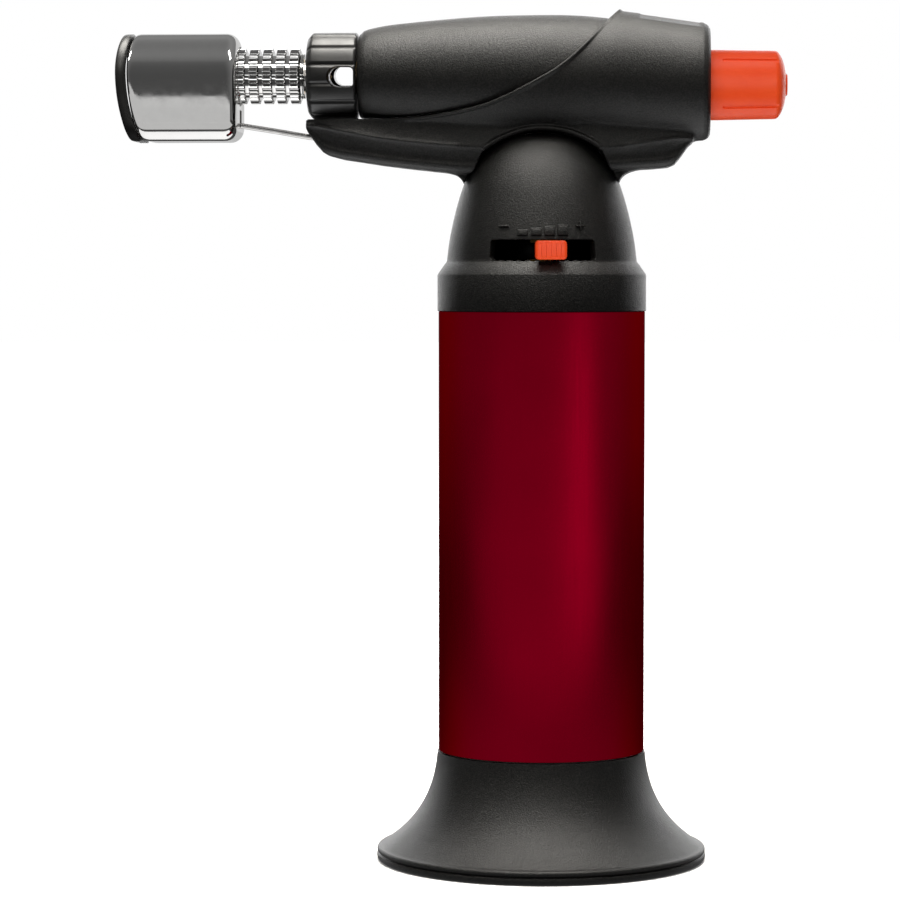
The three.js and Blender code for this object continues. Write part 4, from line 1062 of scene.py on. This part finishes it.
# ---------------------------------------------------------------- button
def ignition_button():
    bore, radius, tip_radius, roof = 6.2, 7.7, 7.4, 50.0
    flange = 33.2
    profile = [(0, roof), (bore, roof), (bore, flange), (8.65, flange), (8.8, flange + 0.15)]
    profile += [(8.8, flange + 1.35), (8.65, flange + 1.5), (radius, flange + 1.5)]
    profile += [(tip_radius + 0.02, 50.7), (tip_radius - 0.08, 51.1), (tip_radius - 0.35, 51.5)]
    profile += [(6.3, 52.05), (5.3, 52.5), (4.2, 52.85), (3.2, 53.05)]
    profile += [(2.5, 53.14), (2.4, 53.3), (2.2, BUTTON_END), (0, BUTTON_END)]
    made = turned("push_cap", profile, "X", IGNITER, 128)
    # Each grip groove as (along, depth, half width), running out at the button's tip.
    groove = ((39.3, -0.05, 0.2), (39.7, 0.36, 0.42), (45, 0.36, 0.42), (51.2, 0.40, 0.42), (54.5, 0.8, 0.5))
    for degrees in (42, 138, 222, 318):
        angle = math.radians(degrees)
        middle = Vector((0, math.cos(angle), math.sin(angle)))
        tangent = Vector((0, -math.sin(angle), math.cos(angle)))
        rows = []
        for x, depth, half in groove:
            level = radius - (radius - tip_radius) * (x - flange) / 18
            mouth, flank, bed = level + 0.6, level - depth * 0.7, level - depth
            corners = [(-half * 1.3, mouth), (half * 1.3, mouth), (half, flank)]
            corners += [(half * 0.5, bed), (-half * 0.5, bed), (-half, flank)]
            rows.append([tuple(tangent * a + middle * b + Vector((x, 0, 0))) for a, b in corners])
        boolean(made, loft("groove_tool", rows, IGNITER))
    low = 158.0 - BUTTON_Z
    finger = [(15.2, low - 1), (30, low - 1), (33, low + 2.4), (34.7, low + 2.4), (34.7, -7)]
    finger += [(33.2, -7), (31, low + 3.6), (24.6, low + 3.24), (15.2, low - 0.47)]
    boolean(made, prism("finger_part", finger, -1.8, 1.8, "XZ", IGNITER), "UNION")
    put(shade(made, 32), "orange_plastic", "button", "ignition_button")


# ---------------------------------------------------------------- carried-over CAD pieces
def paint_frame():
    """Gives each CAD node its slot's finish."""
    for row in frame["record"]["subparts"]:
        node = frame["nodes"].get(row["node"])
        if node is None:
            continue
        material = MATERIALS[row["material_slot"]]
        for i in range(len(node.data.materials)):
            node.material_slots[i].material = material
        if not node.data.materials:
            node.data.materials.append(material)


# ---------------------------------------------------------------- stage, light and camera
def reflected_tone(n, tone, shader):
    """Sends shader to the camera and a plain glow of the given tone to reflections. Gives the mix."""
    glow = n.add("ShaderNodeEmission")
    n.link(tone, glow.inputs["Color"])
    path = n.add("ShaderNodeLightPath")
    mix = n.add("ShaderNodeMixShader")
    n.link(path.outputs["Is Camera Ray"], mix.inputs["Fac"])
    n.link(glow.outputs["Emission"], mix.inputs[1])
    n.link(shader, mix.inputs[2])
    return mix.outputs["Shader"]


def floor():
    """A wide pale floor: white under the torch, and dark well in front of it where reflections look."""
    made = turned("studio_floor", [(0, -0.5), (6000, -0.5), (6000, -0.05), (0, -0.05)], sides=96)
    n = Finish("studio_floor")
    n.set(Roughness=0.7, Specular_IOR_Level=0.1, Emission_Color=(1, 1, 1, 1))
    n.wire("Base Color", n.ramp(n.noise(400, detail=2), (0.3, (0.9, 0.9, 0.895)), (0.7, (0.91, 0.91, 0.905))))
    length = n.add("ShaderNodeVectorMath", operation="LENGTH")
    n.link(n.place, length.inputs[0])
    distance = length.outputs["Value"]
    n.wire("Emission Strength", n.ramp(distance, (0.06, 0.12), (0.45, 1.0)))
    tone = n.ramp(distance, (0.04, 0.3), (0.2, 0.06), (0.95, 0.05))
    mixed = reflected_tone(n, tone, n.shader.outputs["BSDF"])
    n.link(mixed, n.tree.nodes["Material Output"].inputs["Surface"])
    made.data.materials.append(n.material)


def world():
    """White surroundings for the camera, and a dim studio for the light: darker ahead than overhead."""
    made = bpy.data.worlds.new("studio")
    bpy.context.scene.world = made
    made.use_nodes = True
    n = Nodes(made.node_tree)
    n.tree.nodes.clear()
    split = n.add("ShaderNodeSeparateXYZ")
    n.link(n.add("ShaderNodeTexCoord").outputs["Generated"], split.inputs["Vector"])
    ahead = n.add("ShaderNodeMapRange", **{"From Min": -0.9, "From Max": -0.1})
    n.link(split.outputs["Y"], ahead.inputs["Value"])
    up = split.outputs["Z"]
    front = n.ramp(up, (0.06, 0.085), (0.58, 0.11), (0.68, 0.16), (0.97, 0.21))
    around = n.ramp(up, (0.1, 0.19), (0.8, 0.3), (1.0, 0.21))
    blend = n.add("ShaderNodeMixRGB")
    n.link(ahead.outputs["Result"], blend.inputs["Fac"])
    n.link(front, blend.inputs["Color1"])
    n.link(around, blend.inputs["Color2"])
    white = n.add("ShaderNodeBackground", Color=(1, 1, 1, 1))
    output = n.add("ShaderNodeOutputWorld")
    n.link(reflected_tone(n, blend.outputs["Color"], white.outputs["Background"]), output.inputs["Surface"])


# The pieces that share lamps of their own.
MIRRORS = ("shield_shell", "finned_barrel", "washer_front", "washer_rear", "spark_rod")
ORANGES = ("push_cap", "tab_pad")
SLEEVES = ("sleeve_tube",)
FINNED = ("finned_barrel", "washer_front", "washer_rear")
SHIELDS = ("shield_shell", "spark_rod")
HEADS = ("nose_shell", "housing_shell_left", "housing_shell_right", "air_collar")


def lamp(name, place, target, size, glow, only=(), never=(), tint=(1, 1, 1)):
    """A rectangular lamp, as bright all over as glow. It can light only some pieces, or spare some."""
    light = bpy.data.lights.new(name, "AREA")
    light.shape = "RECTANGLE"
    light.size, light.size_y = size
    light.energy = 4 * size[0] * size[1] * glow
    light.color = tint
    made = bpy.data.objects.new(name, light)
    bpy.context.scene.collection.objects.link(made)
    made.location = place
    made.rotation_euler = (Vector(target) - Vector(place)).to_track_quat("-Z", "Y").to_euler()
    made.visible_camera = False
    if only or never:
        linked = bpy.data.collections.new(name + "_pieces")
        for piece in only or never:
            linked.objects.link(bpy.data.objects[piece])
        for row in linked.collection_objects:
            row.light_linking.link_state = "INCLUDE" if only else "EXCLUDE"
        made.light_linking.receiver_collection = linked


def lights():
    head = (TANK_X * MM, 0, 0.15)
    shield = (-0.06, 0, BURNER_Z * MM)
    middle = (TANK_X * MM, 0, 0.09)
    spared = MIRRORS + ORANGES + SLEEVES
    warm = (1.0, 0.97, 0.91)
    lamp("top_box", (0.0, -0.04, 1.15), head, (0.8, 0.8), 12.5, never=spared, tint=warm)
    lamp("front_box", (-0.05, -0.8, 0.72), head, (0.45, 0.35), 3.0, never=spared, tint=warm)
    behind = MIRRORS + SLEEVES
    lamp("back_card", (TANK_X * MM, 1.1, 0.40), (TANK_X * MM, 0, 0.40), (2.0, 0.9), 1.8, never=behind)
    lamp("mirror_back", (0, 1.1, 0.3), (0, 0, 0.3), (3.0, 0.9), 0.42, only=MIRRORS)
    # Pale cards under the torch, for the light that a white bench sends up.
    lamp("under_card", (0, 0, 0.001), (0, 0, 1), (0.36, 0.24), 1.4, only=HEADS + ORANGES)
    lamp("mirror_under", (-0.06, 0, 0.001), (-0.06, 0, 1), (0.36, 0.24), 0.9, only=MIRRORS)
    # For the sleeve: a broad dim card ahead, and a soft box to the right that draws its light band.
    lamp("sleeve_fill", (TANK_X * MM, -1.2, 0.1), middle, (3.6, 1.2), 0.16, only=SLEEVES)
    lamp("sleeve_back", (TANK_X * MM, 1.1, 0.1), middle, (3.0, 1.2), 0.12, only=SLEEVES)
    lamp("sleeve_box", (0.75, -0.68, 0.25), (0.02, 0, 0.25), (0.34, 0.5), 0.5, only=SLEEVES)
    lamp("sleeve_low", (0.02, -0.65, 0.001), (0.02, -0.65, 1), (3.0, 1.1), 0.2, only=SLEEVES)
    lamp("sleeve_glow", (0.34, -0.32, 0.002), (0.34, -0.32, 1), (0.4, 0.4), 0.3, only=SLEEVES)
    # For the orange pieces: even light from ahead and above.
    lamp("orange_fill", (0.1, -1.0, 0.2), head, (1.6, 0.9), 1.9, only=ORANGES)
    lamp("orange_top", (0.1, -0.25, 1.0), head, (0.7, 0.5), 2.6, only=ORANGES)
    # For the chrome: a pale bench ahead, two glints on the shield's rounded ends, and hard light on the fins.
    # The bench's front board is as tall as edge, which sets the horizon in the shield.
    edge = 0.168
    lamp("bench_front", (0, -1.2, edge / 2), (0, 0, edge / 2), (4.0, edge), 0.5, only=SHIELDS)
    lamp("bench_top", (0, -0.70, 0.001), (0, -0.70, 1), (4.0, 1.0), 0.5, only=SHIELDS)
    for name, x in (("left_glint", -0.9), ("right_glint", 0.75)):
        lamp(name, (x, -0.2, 1.0), shield, (0.22, 0.5), 8, only=SHIELDS)
    lamp("fin_top", (-0.04, -0.40, 0.80), shield, (1.2, 0.24), 5, only=FINNED)
    lamp("fin_front", (-0.04, -1.0, 0.27), shield, (1.2, 0.05), 2, only=FINNED)
    lamp("fin_low", (-0.04, -0.60, 0.02), shield, (1.2, 0.08), 2, only=FINNED)
    lamp("fin_side", (0.9, -0.2, 0.17), shield, (0.6, 0.6), 0.8, only=FINNED)


def camera():
    """The photograph's viewpoint: a long lens below the head, a little to the button's side."""
    distance, height, turn, pitch = 0.7546, 0.1285, math.radians(3.63), math.radians(2.89)
    data = bpy.data.cameras.new("camera")
    data.sensor_width = 36
    data.lens = 137.2
    data.clip_start = 0.01
    data.clip_end = 50
    made = bpy.data.objects.new("camera", data)
    bpy.context.scene.collection.objects.link(made)
    azimuth = math.radians(2.1)
    made.location = (TANK_X * MM + distance * math.sin(azimuth), -distance * math.cos(azimuth), height)
    made.rotation_euler = (math.pi / 2 - pitch, 0, turn)
    bpy.context.scene.camera = made


def main():
    bpy.context.scene.view_settings.view_transform = "Standard"
    camera()
    world()
    floor()
    paint_frame()
    base_skirt()
    tank_sleeve()
    neck_cover()
    flame_marks()
    flame_lever()
    lever_tab()
    nose_barrel()
    housing_halves()
    housing_screws()
    nozzle_shield()
    shield_front_ring()
    burner_barrel()
    barrel_washers()
    air_ring()
    electrode_rod()
    ignition_button()
    lights()


main()
